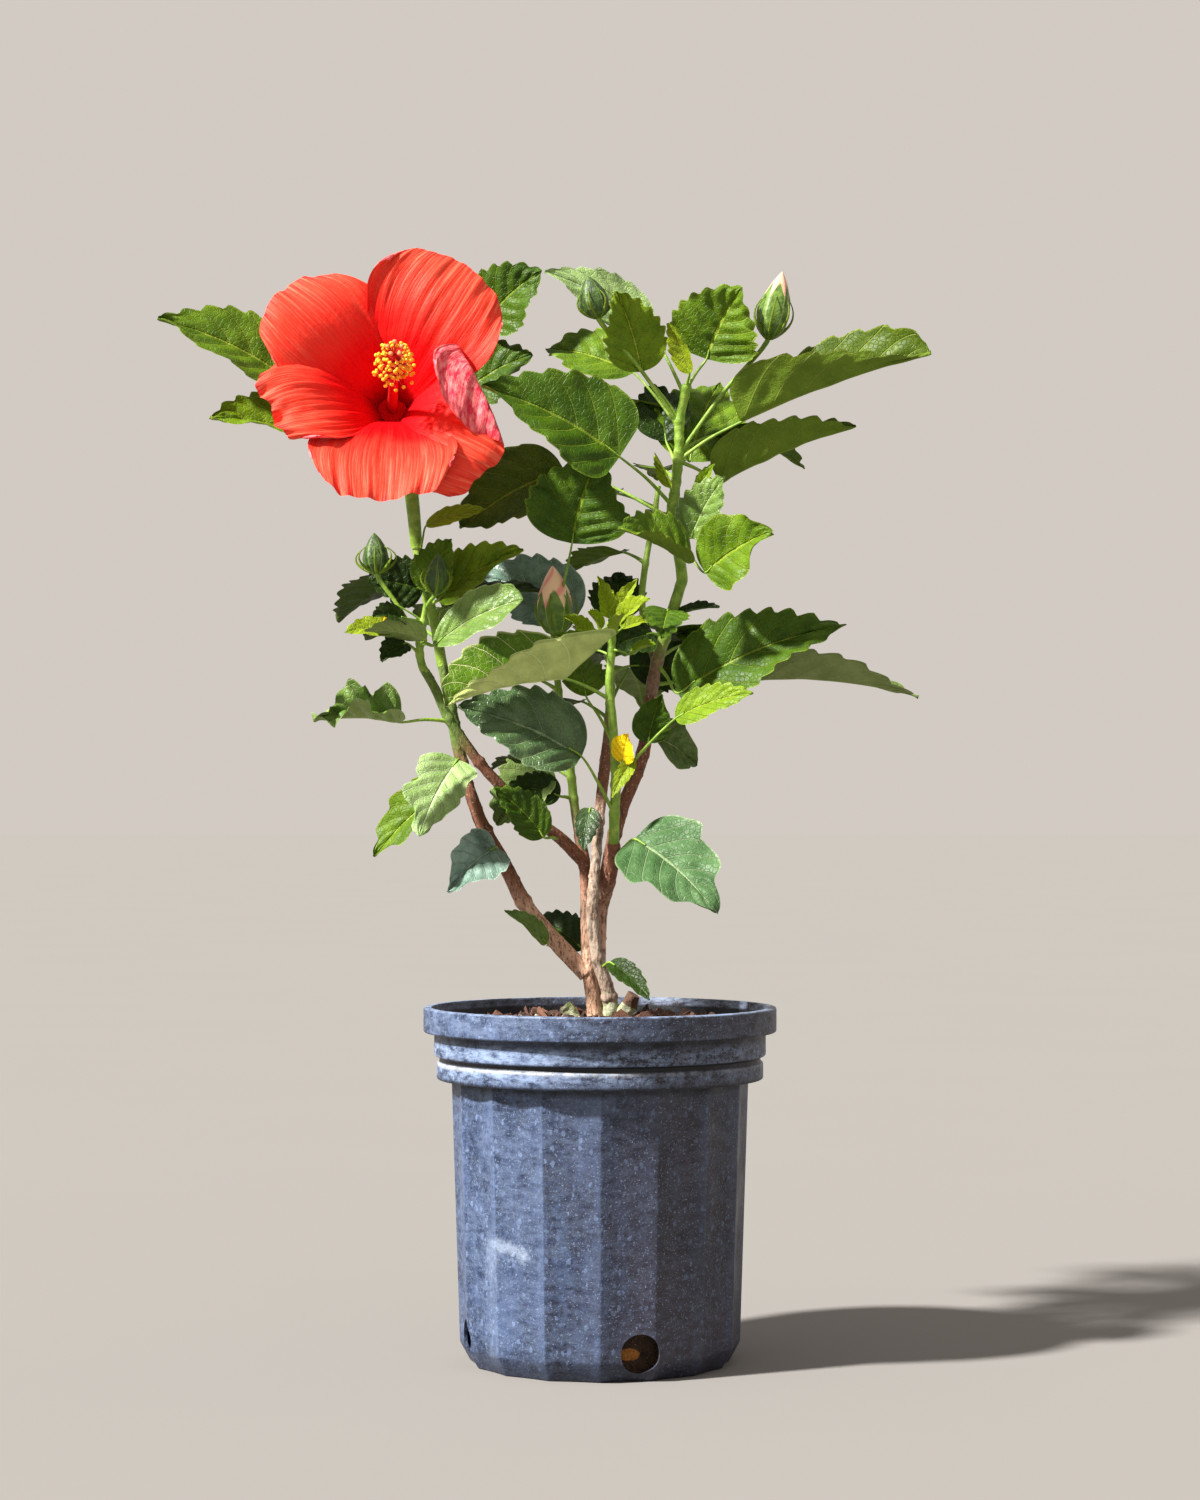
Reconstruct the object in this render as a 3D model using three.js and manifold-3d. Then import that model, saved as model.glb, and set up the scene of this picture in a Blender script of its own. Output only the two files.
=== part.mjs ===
// A potted hibiscus shrub: a faceted nursery pot, its potting mix, three woody stems with their
// boughs, the leafy shoots that grow on from them, and one open bloom.
// Millimetres, +Z up. The origin is the centre of the pot's flat underside.
import * as THREE from 'three';
import { mergeVertices } from 'three/addons/utils/BufferGeometryUtils.js';
import Module from 'manifold-3d';

const wasm = await Module();
wasm.setup();

// Pot: a blow-moulded nursery pot of the one gallon trade size
const POT_HEIGHT = 165;
const RIM_RADIUS = 82.5;
const RIM_BAND = 11.5;
const NECK_RADIUS = 77.5;
const NECK_BAND = 11;
const GROOVE_RADIUS = 75.6;
const GROOVE_BAND = 3.2;
const BEAD_RADIUS = 76.3;
const BEAD_BAND = 7.6;
const BODY_TOP_RADIUS = 69.5;
const BODY_FOOT_RADIUS = 65.5;
const FOOT_HEIGHT = 9;
const BASE_RADIUS = 60.5;
const BODY_FACETS = 16;
const ROUND_SIDES = 28;
const WALL = 1.6;
const FOOT_BULGE = 1.2;
const LIP_WIDTH = 3.4;
const LIP_CHAMFER = 1.5;
const NECK_SHOULDER = 2;
const DRAIN_RADIUS = 9;
const DRAIN_HEIGHT = 13;
const DRAIN_COUNT = 4;
const DRAIN_TURN = 286.5;

// Fit between neighbouring pieces
const GAP = 0.3;
const SOIL_HEIGHT = 156.6;
const STEM_FOOT = SOIL_HEIGHT + GAP;
const ROOM = 1.3;
const SMOOTHING = 0.12;

// Limbs, leaves and shoots
const FLARE_REACH = 7;
const LIMB_SIDES = 7;
const LEAF_THICKNESS = 1.2;
const LEAF_RISE = 0.52;
const LEAF_TAPER = 0.95;
const LEAF_DROOP = 25;
const STALK_RADIUS = 1;
const STALK_TIP_RADIUS = 0.4;
const TIP_HALF_WIDTH = 0.6;
const BUD_STALK_RADIUS = 1.1;
const TOWARDS_FRONT = 270;
const SPIRAL_STEP = 137.5;

const COLOURS = {
  pot: 0x3f4763,
  mix: 0x3b2a20,
  bark: 0x8a6450,
  greyBark: 0xa79b84,
  leaf: 0x3f7a22,
  darkLeaf: 0x2a5a22,
  paleLeaf: 0x7fae45,
  bloom: 0xe8352c,
};

const group = new THREE.Group();

function addMesh(name, geometry, colour, roughness) {
  const material = new THREE.MeshStandardMaterial({ color: colour, roughness, metalness: 0 });
  const mesh = new THREE.Mesh(geometry, material);
  mesh.name = name;
  group.add(mesh);
}

// Turns a closed geometry into a solid that can be joined and cut
function toSolid(geometry) {
  const bare = geometry.clone();
  bare.deleteAttribute('normal');
  bare.deleteAttribute('uv');
  const merged = mergeVertices(bare, 1e-4);
  const mesh = new wasm.Mesh({
    numProp: 3,
    vertProperties: new Float32Array(merged.attributes.position.array),
    triVerts: new Uint32Array(merged.index.array),
  });
  return new wasm.Manifold(mesh);
}

function toGeometry(solid) {
  const mesh = solid.getMesh();
  const geometry = new THREE.BufferGeometry();
  geometry.setAttribute('position', new THREE.BufferAttribute(new Float32Array(mesh.vertProperties), 3));
  geometry.setIndex(new THREE.BufferAttribute(new Uint32Array(mesh.triVerts), 1));
  geometry.computeVertexNormals();
  return geometry;
}

// The main body of a joined solid, without loose scraps and sealed hollows
function mainBody(solid) {
  const bodies = solid.simplify(SMOOTHING).decompose();
  bodies.sort((a, b) => b.volume() - a.volume());
  return bodies[0];
}

function joinAll(solids) {
  let joined = solids[0];
  for (const solid of solids.slice(1)) {
    joined = joined.add(solid);
  }
  return joined;
}

// Moves every vertex of a geometry to the place that a rule gives for it
function reshape(geometry, place) {
  const position = geometry.attributes.position;
  const vertex = new THREE.Vector3();
  for (let i = 0; i < position.count; i += 1) {
    vertex.fromBufferAttribute(position, i);
    const moved = place(vertex);
    position.setXYZ(i, moved.x, moved.y, moved.z);
  }
  return geometry;
}

const radians = THREE.MathUtils.degToRad;

// A compass direction: turn 0 is +X, 90 is +Y, and lift is the angle above the horizontal
function direction(turn, lift) {
  const level = Math.cos(radians(lift));
  return new THREE.Vector3(
    level * Math.cos(radians(turn)),
    level * Math.sin(radians(turn)),
    Math.sin(radians(lift)),
  );
}

function makeRandom(seed) {
  let state = seed;
  return () => {
    state = (state * 16807) % 2147483647;
    return state / 2147483647;
  };
}

function curveOf(points) {
  const places = points.map(([x, y, z]) => new THREE.Vector3(x, y, z));
  return new THREE.CatmullRomCurve3(places, false, 'centripetal');
}

// A limb: a round section carried along a curve, its radius falling from foot to tip
function limbSolid(curve, footRadius, tipRadius, steps, sides, flare = 0) {
  const frames = curve.computeFrenetFrames(steps, false);
  const length = curve.getLength();
  const shape = new THREE.CylinderGeometry(1, 1, 1, sides, steps);
  reshape(shape, (vertex) => {
    const t = vertex.y + 0.5;
    const k = Math.round(t * steps);
    const spread = flare * Math.exp((-t * length) / FLARE_REACH);
    const radius = footRadius + (tipRadius - footRadius) * t + spread;
    return curve.getPointAt(t)
      .addScaledVector(frames.normals[k], vertex.x * radius)
      .addScaledVector(frames.binormals[k], -vertex.z * radius);
  });
  return toSolid(shape);
}

// The point of a rising curve that lies at a given height
function pointAtHeight(curve, height) {
  let low = 0;
  let high = 1;
  for (let i = 0; i < 30; i += 1) {
    const middle = (low + high) / 2;
    if (curve.getPointAt(middle).z < height) {
      low = middle;
    } else {
      high = middle;
    }
  }
  return curve.getPointAt(low);
}

function latheSolid(profile, sides, turn) {
  const points = profile.map(([radius, height]) => new THREE.Vector2(radius, height));
  const shape = new THREE.LatheGeometry(points, sides);
  shape.rotateX(Math.PI / 2);
  shape.rotateZ(radians(turn));
  return toSolid(shape);
}

// Pot: a faceted body and a round rim with a neck, a groove and a bead
function potSolid() {
  const ledgeHeight = POT_HEIGHT - RIM_BAND - NECK_BAND - GROOVE_BAND - BEAD_BAND;
  const body = latheSolid([
    [0, 0],
    [BASE_RADIUS, 0],
    [BODY_FOOT_RADIUS - FOOT_BULGE, FOOT_HEIGHT * 0.45],
    [BODY_FOOT_RADIUS, FOOT_HEIGHT],
    [BODY_TOP_RADIUS, ledgeHeight + WALL / 2],
    [BODY_TOP_RADIUS - WALL, ledgeHeight + WALL / 2],
    [BODY_FOOT_RADIUS - WALL, FOOT_HEIGHT],
    [BASE_RADIUS - WALL * 0.6, WALL],
    [0, WALL],
  ], BODY_FACETS, 0);
  const inner = BODY_TOP_RADIUS - 2 * WALL;
  const beadTop = ledgeHeight + BEAD_BAND;
  const grooveTop = beadTop + GROOVE_BAND;
  const neckTop = grooveTop + NECK_BAND;
  const rim = latheSolid([
    [inner, ledgeHeight],
    [BEAD_RADIUS, ledgeHeight],
    [BEAD_RADIUS, beadTop],
    [GROOVE_RADIUS, beadTop],
    [GROOVE_RADIUS, grooveTop],
    [NECK_RADIUS, grooveTop],
    [NECK_RADIUS, neckTop],
    [RIM_RADIUS, neckTop],
    [RIM_RADIUS, POT_HEIGHT - LIP_CHAMFER],
    [RIM_RADIUS - LIP_CHAMFER, POT_HEIGHT],
    [RIM_RADIUS - LIP_WIDTH, POT_HEIGHT],
    [RIM_RADIUS - LIP_WIDTH - FOOT_BULGE, neckTop + WALL],
    [GROOVE_RADIUS - WALL, neckTop - NECK_SHOULDER],
    [GROOVE_RADIUS - WALL, ledgeHeight + WALL],
    [inner, ledgeHeight + WALL],
    [inner, ledgeHeight],
  ], ROUND_SIDES, 0);
  let pot = body.add(rim);
  for (let i = 0; i < DRAIN_COUNT; i += 1) {
    const hole = new THREE.CylinderGeometry(DRAIN_RADIUS, DRAIN_RADIUS, 30, 12);
    hole.rotateZ(Math.PI / 2);
    hole.translate(BODY_FOOT_RADIUS, 0, DRAIN_HEIGHT);
    hole.rotateZ(radians(DRAIN_TURN + (360 / DRAIN_COUNT) * i));
    pot = pot.subtract(toSolid(hole));
  }
  return mainBody(pot);
}

// Potting mix: it fills the pot to a few millimetres below the rim, level where the stems stand
function mixSolid() {
  const ledgeHeight = POT_HEIGHT - RIM_BAND - NECK_BAND - GROOVE_BAND - BEAD_BAND;
  const neckTop = POT_HEIGHT - RIM_BAND;
  const facetRatio = Math.cos(Math.PI / BODY_FACETS);
  const shy = WALL + GAP / facetRatio;
  const lower = latheSolid([
    [0, WALL + GAP],
    [BASE_RADIUS - shy, WALL + GAP],
    [BODY_FOOT_RADIUS - shy, FOOT_HEIGHT + 1],
    [BODY_TOP_RADIUS - shy - 2, ledgeHeight - 2],
    [BODY_TOP_RADIUS - shy - 2, ledgeHeight + 6],
    [0, ledgeHeight + 6],
  ], BODY_FACETS, 0);
  const upper = latheSolid([
    [0, ledgeHeight + WALL + GAP],
    [GROOVE_RADIUS - WALL - GAP, ledgeHeight + WALL + GAP],
    [GROOVE_RADIUS - WALL - GAP, neckTop - NECK_SHOULDER],
    [GROOVE_RADIUS - WALL - GAP, SOIL_HEIGHT - 2.4],
    [60, SOIL_HEIGHT - 1.6],
    [44, SOIL_HEIGHT - 0.2],
    [30, SOIL_HEIGHT - 1.2],
    [18, SOIL_HEIGHT],
    [0, SOIL_HEIGHT],
  ], ROUND_SIDES, 0);
  return mainBody(lower.add(upper));
}

// Leaf outline: the half-width rises quickly from the stalk and tapers to the tip
function leafHalfWidth(u, width) {
  const peak = LEAF_RISE / (LEAF_RISE + LEAF_TAPER);
  const most = peak ** LEAF_RISE * (1 - peak) ** LEAF_TAPER;
  return Math.max(TIP_HALF_WIDTH, ((width / 2) * u ** LEAF_RISE * (1 - u) ** LEAF_TAPER) / most);
}

// A blade: a midrib that arcs down by droop degrees, its two halves raised by fold degrees, its
// upper face tipped by face degrees from straight up to the compass turn in toward
function leafSolid(base, leaf) {
  const { length, turn, lift, width, face, fold, droop = LEAF_DROOP, toward = TOWARDS_FRONT } = leaf;
  const bend = radians(droop);
  const level = direction(turn, 0);
  const up = new THREE.Vector3(0, 0, 1);
  const faceWay = direction(toward, 90 - face);
  const shape = new THREE.BoxGeometry(1, 1, 1, 5, 2, 1);
  reshape(shape, (vertex) => {
    const u = vertex.x + 0.5;
    const half = (bend * u) / 2;
    const chord = half === 0 ? 1 : Math.sin(half) / half;
    const rise = radians(lift) + bend / 2;
    const along = level.clone()
      .multiplyScalar(Math.cos(rise - bend * u))
      .addScaledVector(up, Math.sin(rise - bend * u));
    const normal = faceWay.clone().addScaledVector(along, -faceWay.dot(along)).normalize();
    const side = normal.clone().cross(along);
    const halfWidth = leafHalfWidth(u, width);
    const sign = Math.sign(vertex.y);
    const tilt = radians(fold);
    const outward = normal.clone()
      .multiplyScalar(Math.cos(tilt))
      .addScaledVector(side, -sign * Math.sin(tilt));
    return base.clone()
      .addScaledVector(level, length * u * chord * Math.cos(rise - half))
      .addScaledVector(up, length * u * chord * Math.sin(rise - half))
      .addScaledVector(side, sign * halfWidth * Math.cos(tilt))
      .addScaledVector(normal, Math.abs(sign) * halfWidth * Math.sin(tilt))
      .addScaledVector(outward, vertex.z * LEAF_THICKNESS);
  });
  return toSolid(shape);
}

// A leaf on its stalk, from a node of the stem
function stalkedLeaf(node, stalk, leaf) {
  const [length, turn, lift] = stalk;
  const base = node.clone().addScaledVector(direction(turn, lift), length);
  const { droop = LEAF_DROOP } = leaf;
  const midrib = direction(leaf.turn, leaf.lift + droop / 2);
  const inside = base.clone().addScaledVector(midrib, leaf.length * 0.1);
  const bow = node.clone().lerp(base, 0.5).add(new THREE.Vector3(0, 0, length * 0.04));
  const route = new THREE.CatmullRomCurve3([node, bow, base, inside], false, 'centripetal');
  const radius = Math.min(STALK_RADIUS, leaf.width * 0.06);
  return limbSolid(route, radius, STALK_TIP_RADIUS, 3, 3).add(leafSolid(base, leaf));
}

// A bud: a spindle of sepals on its stalk
function stalkedBud(node, stalk, bud) {
  const [length, turn, lift] = stalk;
  const base = node.clone().addScaledVector(direction(turn, lift), length);
  const way = direction(bud.turn, bud.lift);
  const inside = base.clone().addScaledVector(way, bud.length * 0.3);
  const route = new THREE.CatmullRomCurve3([node, base, inside], false, 'centripetal');
  const half = bud.width / 2;
  const spindle = new THREE.LatheGeometry([
    new THREE.Vector2(0, 0),
    new THREE.Vector2(half * 0.62, bud.length * 0.08),
    new THREE.Vector2(half, bud.length * 0.34),
    new THREE.Vector2(half * 0.78, bud.length * 0.66),
    new THREE.Vector2(half * 0.3, bud.length * 0.9),
    new THREE.Vector2(0, bud.length),
  ], 6);
  spindle.applyQuaternion(new THREE.Quaternion().setFromUnitVectors(new THREE.Vector3(0, 1, 0), way));
  spindle.translate(base.x, base.y, base.z);
  return limbSolid(route, BUD_STALK_RADIUS, BUD_STALK_RADIUS, 3, 4).add(toSolid(spindle));
}

// Leaves on the side that faces away, set in a spiral up the stem by a seeded rule
function spiralLeaves(curve, rule) {
  const random = makeRandom(rule.seed);
  const solids = [];
  for (let i = 0; i < rule.count; i += 1) {
    const height = rule.from + ((rule.to - rule.from) * (i + 0.5)) / rule.count;
    const turn = rule.middle + rule.sweep * Math.sin(radians(SPIRAL_STEP * (i + 1)));
    const length = rule.length * (0.8 + 0.35 * random());
    const stalk = [rule.stalk * (0.7 + 0.6 * random()), turn, 15 + 20 * random()];
    const leaf = {
      length,
      turn: turn + 30 * (random() - 0.5),
      lift: -22 + 24 * random(),
      width: length * 0.66,
      face: 14 + 16 * random(),
      toward: turn,
      fold: 14,
      droop: 30,
    };
    solids.push(stalkedLeaf(pointAtHeight(curve, height), stalk, leaf));
  }
  return solids;
}

// Woody limbs: each a curve from its foot to its tip, with the radius at both ends
const LIMBS = {
  trunk: {
    points: [[-2.3, 0, STEM_FOOT], [-2.4, 0, 160], [-3.5, 0, 168], [-5.2, 0, 181], [-6.2, 1, 201],
      [-7, 3, 230], [-9.9, 4, 246]],
    radii: [3.2, 2.5],
    flare: 1.6,
    colour: COLOURS.bark,
  },
  left_bough: {
    points: [[-6.2, 0.1, 180], [-25, 3, 200], [-36, 4, 214], [-45, 5, 232], [-54, 6, 247], [-61, 7, 265],
      [-66, 8, 283], [-70, 8, 304], [-74.5, 8, 326]],
    radii: [4.2, 2.5],
    from: 'trunk',
    colour: COLOURS.bark,
  },
  crossing_bough: {
    points: [[-7, 3, 232], [-18, -4, 243], [-29, -10, 252], [-42, -15, 264], [-56, -20, 279], [-64, -22, 290],
      [-71, -23, 301], [-76, -22, 312], [-81, -20, 321]],
    radii: [3.1, 2],
    from: 'trunk',
    colour: COLOURS.bark,
  },
  grey_stem: {
    points: [[6.2, -5.2, STEM_FOOT], [6.1, -5.25, 160], [3.4, -7, 174], [-1, -8, 188], [-3.4, -8, 204],
      [-3, -7.5, 220], [-1.6, -5, 236], [-0.5, 0, 252], [1.2, 5, 268], [3.4, 9.5, 288]],
    radii: [2.9, 2.3],
    flare: 1.8,
    colour: COLOURS.greyBark,
  },
  right_bough: {
    points: [[2, 8.5, STEM_FOOT], [1.8, 8.5, 160], [-0.4, 9, 176], [0, 8.5, 200], [1, 7.5, 215],
      [3.6, 8.5, 231], [6.8, 10, 245], [11, 11.5, 259], [15, 11.5, 268.5], [19, 11.5, 279],
      [22, 11, 292.5], [23.6, 10.5, 306]],
    radii: [3.2, 2.9],
    flare: 1.6,
    colour: COLOURS.bark,
  },
  front_bough: {
    points: [[1.5, 7, 214], [4, -1.5, 222], [6, -10, 232], [6.4, -15, 242]],
    radii: [3, 2.5],
    from: 'right_bough',
    colour: COLOURS.bark,
  },
};

// Shoots: the green stem of each mass of leaves, which goes on from the tip of another limb or
// stem, the leaves that show, and the spiral of leaves behind them.
// A leaf row is: height on the stem, then length, turn and lift of the stalk, then those of the
// blade, then its width, the tip of its face and the fold of its halves.
// A bud row is: height on the stem, length, turn and lift of the stalk, those of the bud, its width.
const SHOOTS = {
  right_shoot: {
    from: 'right_bough',
    stem: [[26, 9, 323], [30, 8, 337], [35, 7, 353], [38, 6.3, 363]],
    radii: [2.9, 2.6],
    seen: [
      [348, 3, 294, 0, 24, 335, 9, 12, 30, 20],
      [326, 20, 313, -46, 87, 344, 21, 44, 60, 16],
      [316, 38, 8, 2, 89, 352, -5, 38, -8, 46],
    ],
    buds: [],
    spiral: { seed: 5, count: 3, from: 314, to: 342, middle: 62, sweep: 18, length: 54, stalk: 24 },
    colour: COLOURS.leaf,
  },
  tall_shoot: {
    from: 'right_shoot',
    stem: [[36.8, 5, 379], [33.5, 3.2, 393], [35.2, 2, 407], [37.1, 0, 426], [37.4, -1, 440],
      [39.3, -3, 449], [40.7, -5, 456]],
    radii: [2.6, 1.2],
    seen: [
      [400, 39, 221, 32, 73, 194, 25, 54, 60, 20],
      [436, 37, 151, 49, 48, 157, 17, 38, 50, 12],
      [431, 16, 67, -35, 50, 58, 55, 44, 70, 8],
      [417, 19, 114, 50, 33, 116, 60, 28, 60, 12],
      [421, 23, 20, -25, 70, 347, 21, 44, -6, 52],
      [421, 35, 341, 29, 88, 348, 18, 50, -8, 56],
      [451, 37, 148, 60, 58, 193, 27, 28, 60, 10],
      [440, 29, 199, 49, 41, 234, 60, 30, 75, 12],
      [454, 17, 348, 55, 38, 322, 57, 42, 75, 10],
      [455, 8, 282, 41, 27, 224, 57, 13, 60, 20],
      [405, 9, 256, 17, 20, 233, 50, 10, 60, 25],
      [388, 23, 333, 54, 16, 312, 48, 8, 60, 25],
      [392, 36, 285, -36, 40, 207, 21, 38, 30, 32],
      [380, 30, 297, -26, 42, 321, 24, 36, 70, 14],
      [393, 13, 337, -41, 35, 319, 53, 24, 60, 14],
      [394, 58, 164, 25, 58, 190, -30, 42, 60, 14],
    ],
    buds: [
      [438, 63, 203, 49, 20, 200, 75, 14],
      [424, 68, 347, 51, 32, 350, 78, 15],
    ],
    spiral: { seed: 11, count: 3, from: 404, to: 446, middle: 75, sweep: 45, length: 50, stalk: 24 },
    colour: COLOURS.leaf,
  },
  side_shoot: {
    stem: [[26.4, 12.3, 326], [26.2, 14, 326.8], [25, 16, 331], [21.5, 18, 343], [20, 21, 358],
      [22, 25, 376], [26, 28, 398], [28, 30, 412]],
    radii: [1.9, 1.2],
    seen: [],
    buds: [],
    spiral: { seed: 23, count: 3, from: 368, to: 408, middle: 110, sweep: 40, length: 52, stalk: 22 },
    colour: COLOURS.darkLeaf,
  },
  front_shoot: {
    from: 'front_bough',
    stem: [[6.6, -17, 253], [7.3, -19, 268], [6.8, -20.5, 284], [5.6, -22, 301], [4.2, -22.5, 313],
      [5.1, -23, 327], [5.5, -24, 344]],
    radii: [2.5, 1.6],
    seen: [
      [308, 26, 212, 20, 60, 202, -13, 58, -8, 52],
      [255, 34, 225, 51, 62, 190, 21, 44, 60, 10],
      [343, 4, 250, 41, 21, 235, 62, 10, 60, 30],
      [342, 7, 298, 12, 22, 316, 26, 12, 60, 30],
      [341, 8, 227, -9, 17, 249, 26, 10, 60, 30],
      [331, 11, 324, -14, 16, 319, 15, 10, 40, 30],
      [336, 9, 52, 33, 17, 37, 15, 10, 40, 25],
      [269, 43, 332, 44, 42, 330, 15, 18, 60, 14],
      [276, 7, 298, 21, 17, 285, 53, 12, 85, 10],
      [287, 30, 133, 50, 30, 100, 40, 22, 50, 15],
      [268, 16, 325, 50, 22, 219, -54, 8, 80, 20],
    ],
    buds: [],
    spiral: null,
    colour: COLOURS.paleLeaf,
  },
  middle_shoot: {
    from: 'trunk',
    stem: [[-12, 6, 259], [-14, 8, 276], [-16.5, 8, 290], [-19, 6, 309], [-20.7, 4, 325], [-22, 2, 339]],
    radii: [2.3, 1.4],
    seen: [
      [336, 48, 302, 70, 42, 318, 67, 50, 75, 12],
      [272, 11, 165, 27, 38, 188, -46, 32, 50, 16],
      [281, 9, 77, -29, 36, 145, 8, 30, 30, 14],
      [262, 8, 215, 10, 26, 190, 10, 18, 60, 15],
    ],
    buds: [
      [336, 4, 300, 40, 33, 200, 86, 15],
    ],
    spiral: { seed: 31, count: 3, from: 268, to: 322, middle: 150, sweep: 14, length: 42, stalk: 16 },
    colour: COLOURS.darkLeaf,
  },
  rear_shoot: {
    from: 'grey_stem',
    stem: [[4.7, 15, 306], [5.2, 20, 326], [3, 26, 342]],
    radii: [2.4, 1.5],
    seen: [
      [336, 20, 175, 42, 56, 168, 22, 42, 55, 10],
      [338, 16, 70, 40, 30, 84, 55, 28, 75, 12],
    ],
    buds: [],
    spiral: { seed: 47, count: 5, from: 296, to: 334, middle: 108, sweep: 40, length: 58, stalk: 26 },
    colour: COLOURS.darkLeaf,
  },
  left_shoot: {
    from: 'left_bough',
    stem: [[-77.7, 6.5, 344], [-82, 5, 360], [-86, 4, 380]],
    radii: [2.5, 2.2],
    seen: [
      [376, 16, 293, 45, 30, 348, 10, 9, 60, 10],
      [374, 17, 294, -60, 30, 313, 52, 22, 70, 14],
      [353, 8, 301, 16, 49, 341, 28, 28, 45, 24],
      [345, 8, 0, 63, 52, 16, 10, 26, 20, 16],
      [356, 7, 250, 35, 28, 200, 8, 26, 75, 12],
    ],
    buds: [],
    spiral: { seed: 3, count: 3, from: 332, to: 366, middle: 125, sweep: 35, length: 52, stalk: 22 },
    colour: COLOURS.leaf,
  },
  crossing_shoot: {
    from: 'crossing_bough',
    stem: [[-83.5, -20, 330], [-82, -21, 342], [-80.5, -22, 352]],
    radii: [2, 1.3],
    seen: [
      [339, 12, 200, 5, 26, 205, -4, 14, 50, 14],
      [343, 12, 230, 10, 22, 230, 0, 14, 60, 14],
      [334, 9, 316, -8, 50, 337, 24, 26, 55, 18],
      [334, 7, 297, 10, 32, 210, 7, 15, -45, 20],
      [329, 8, 185, 40, 18, 224, -30, 14, 60, 20],
    ],
    buds: [
      [334, 38, 183, 58, 19, 150, 86, 12],
      [350, 9, 320, 45, 19, 300, 80, 11],
    ],
    spiral: null,
    colour: COLOURS.paleLeaf,
  },
  bloom_shoot: {
    stem: [[-85.2, 7.4, 374], [-85.3, 9.2, 375], [-86, 11, 379], [-87, 13, 389], [-90, 18, 410],
      [-93, 26, 434], [-95, 30, 455], [-94, 31, 468]],
    radii: [2, 1.4],
    seen: [
      [451, 52, 191, 10, 72, 196, 23, 42, 50, 20],
      [430, 40, 191, 4, 56, 201, 8, 38, 45, 30],
      [460, 47, 354, 36, 41, 338, 39, 36, 70, 14],
      [448, 25, 5, 12, 45, 345, 28, 38, 60, 12],
    ],
    buds: [],
    spiral: { seed: 71, count: 4, from: 404, to: 462, middle: 100, sweep: 45, length: 54, stalk: 24 },
    colour: COLOURS.leaf,
  },
};

// Single leaves low on the woody limbs: the limb and the row of the leaf
const LOW_LEAVES = {
  low_right_leaf: ['front_bough', 234, 19, 306, 30, 58, 321, -35, 44, 55, 14],
  low_left_leaf: ['left_bough', 236, 9, 262, 23, 42, 234, -29, 30, 55, 24],
  low_slim_leaf: ['left_bough', 199, 11, 266, -23, 31, 223, 31, 11, 60, 30],
  low_rear_leaf: ['trunk', 193, 12, 100, -10, 36, 138, 24, 22, 60, 14],
  low_foot_leaf: ['grey_stem', 183, 10, 295, 20, 33, 310, -30, 12, 60, 20],
  lobed_leaf: ['left_bough', 278, 12, 262, 12, 47, 236, -50, 34, 58, 16],
  lobed_rear_leaf: ['left_bough', 264, 9, 180, 36, 52, 178, -42, 28, 45, 20],
  curled_leaf: ['crossing_bough', 298, 24, 199, -2, 43, 207, 0, 34, 10, 50],
  stem_leaf: ['grey_stem', 255, 8, 235, 20, 22, 250, -66, 12, 80, 20],
  right_upper_leaf: ['right_bough', 283, 11, 285, 30, 26, 300, 60, 19, 80, 14],
  right_hanging_leaf: ['right_bough', 289, 9, 60, 20, 31, 41, -27, 26, 60, 14],
  crossing_leaf: ['crossing_bough', 243, 14, 235, 5, 34, 200, 43, 20, 60, 14],
};

// The bloom: five petals that flare from a throat round the column of stamens
const BLOOM = {
  centre: [-98.7, -38, 460.6],
  turn: 275,
  lift: 22,
  depth: 46,
  throat: 4,
  petals: [
    { turn: 56, reach: 70, width: 70, roll: 9 },
    { turn: 137, reach: 63, width: 66, roll: 8 },
    { turn: 198, reach: 57, width: 52, roll: 10 },
    { turn: 268, reach: 67, width: 70, roll: 4 },
    { turn: 333, reach: 66, width: 54, roll: 16 },
  ],
  column: 52,
  columnRadii: [2.8, 1.8],
  stamenRadius: 11,
  cup: 16,
  cupRadii: [3.4, 6.2],
  thickness: 1.3,
};

function bloomFrame() {
  const axis = direction(BLOOM.turn, BLOOM.lift);
  const right = new THREE.Vector3(0, 0, 1).cross(axis).normalize();
  const up = axis.clone().cross(right);
  const centre = new THREE.Vector3(...BLOOM.centre);
  return { axis, right, up, centre };
}

// A petal: it leaves the throat along the axis, flares out, less towards its sides, and rolls back
// at its rim; one side lies over the next petal and the other under it
function petalSolid(frame, petal, index) {
  const shape = new THREE.BoxGeometry(1, 1, 1, 5, 3, 1);
  const out = frame.right.clone().multiplyScalar(Math.cos(radians(petal.turn)))
    .addScaledVector(frame.up, Math.sin(radians(petal.turn)));
  const side = frame.axis.clone().cross(out);
  reshape(shape, (vertex) => {
    const u = vertex.x + 0.5;
    const v = vertex.y * 2;
    const flare = u ** 1.25;
    const rounding = 1 - u * u * (0.13 * v ** 2 + 0.16 * v ** 6);
    const radius = BLOOM.throat + (petal.reach - BLOOM.throat) * flare * rounding;
    const forward = -BLOOM.depth * (1 - u) ** 1.6 - petal.roll * u ** 4 + 3 * Math.sin(2.2 * v + index) * u;
    const half = 3 + (petal.width / 2 - 3) * Math.sin(Math.min(1, u * 1.25) * Math.PI * 0.5) ** 0.9;
    const across = half * Math.sin(v * 1.35) / Math.sin(1.35) * (1 - 0.15 * u ** 6);
    return frame.centre.clone()
      .addScaledVector(out, radius - 0.16 * (across * across) / petal.reach)
      .addScaledVector(side, across)
      .addScaledVector(frame.axis, forward + vertex.z * BLOOM.thickness + 3.2 * v * u);
  });
  return toSolid(shape);
}

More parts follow.
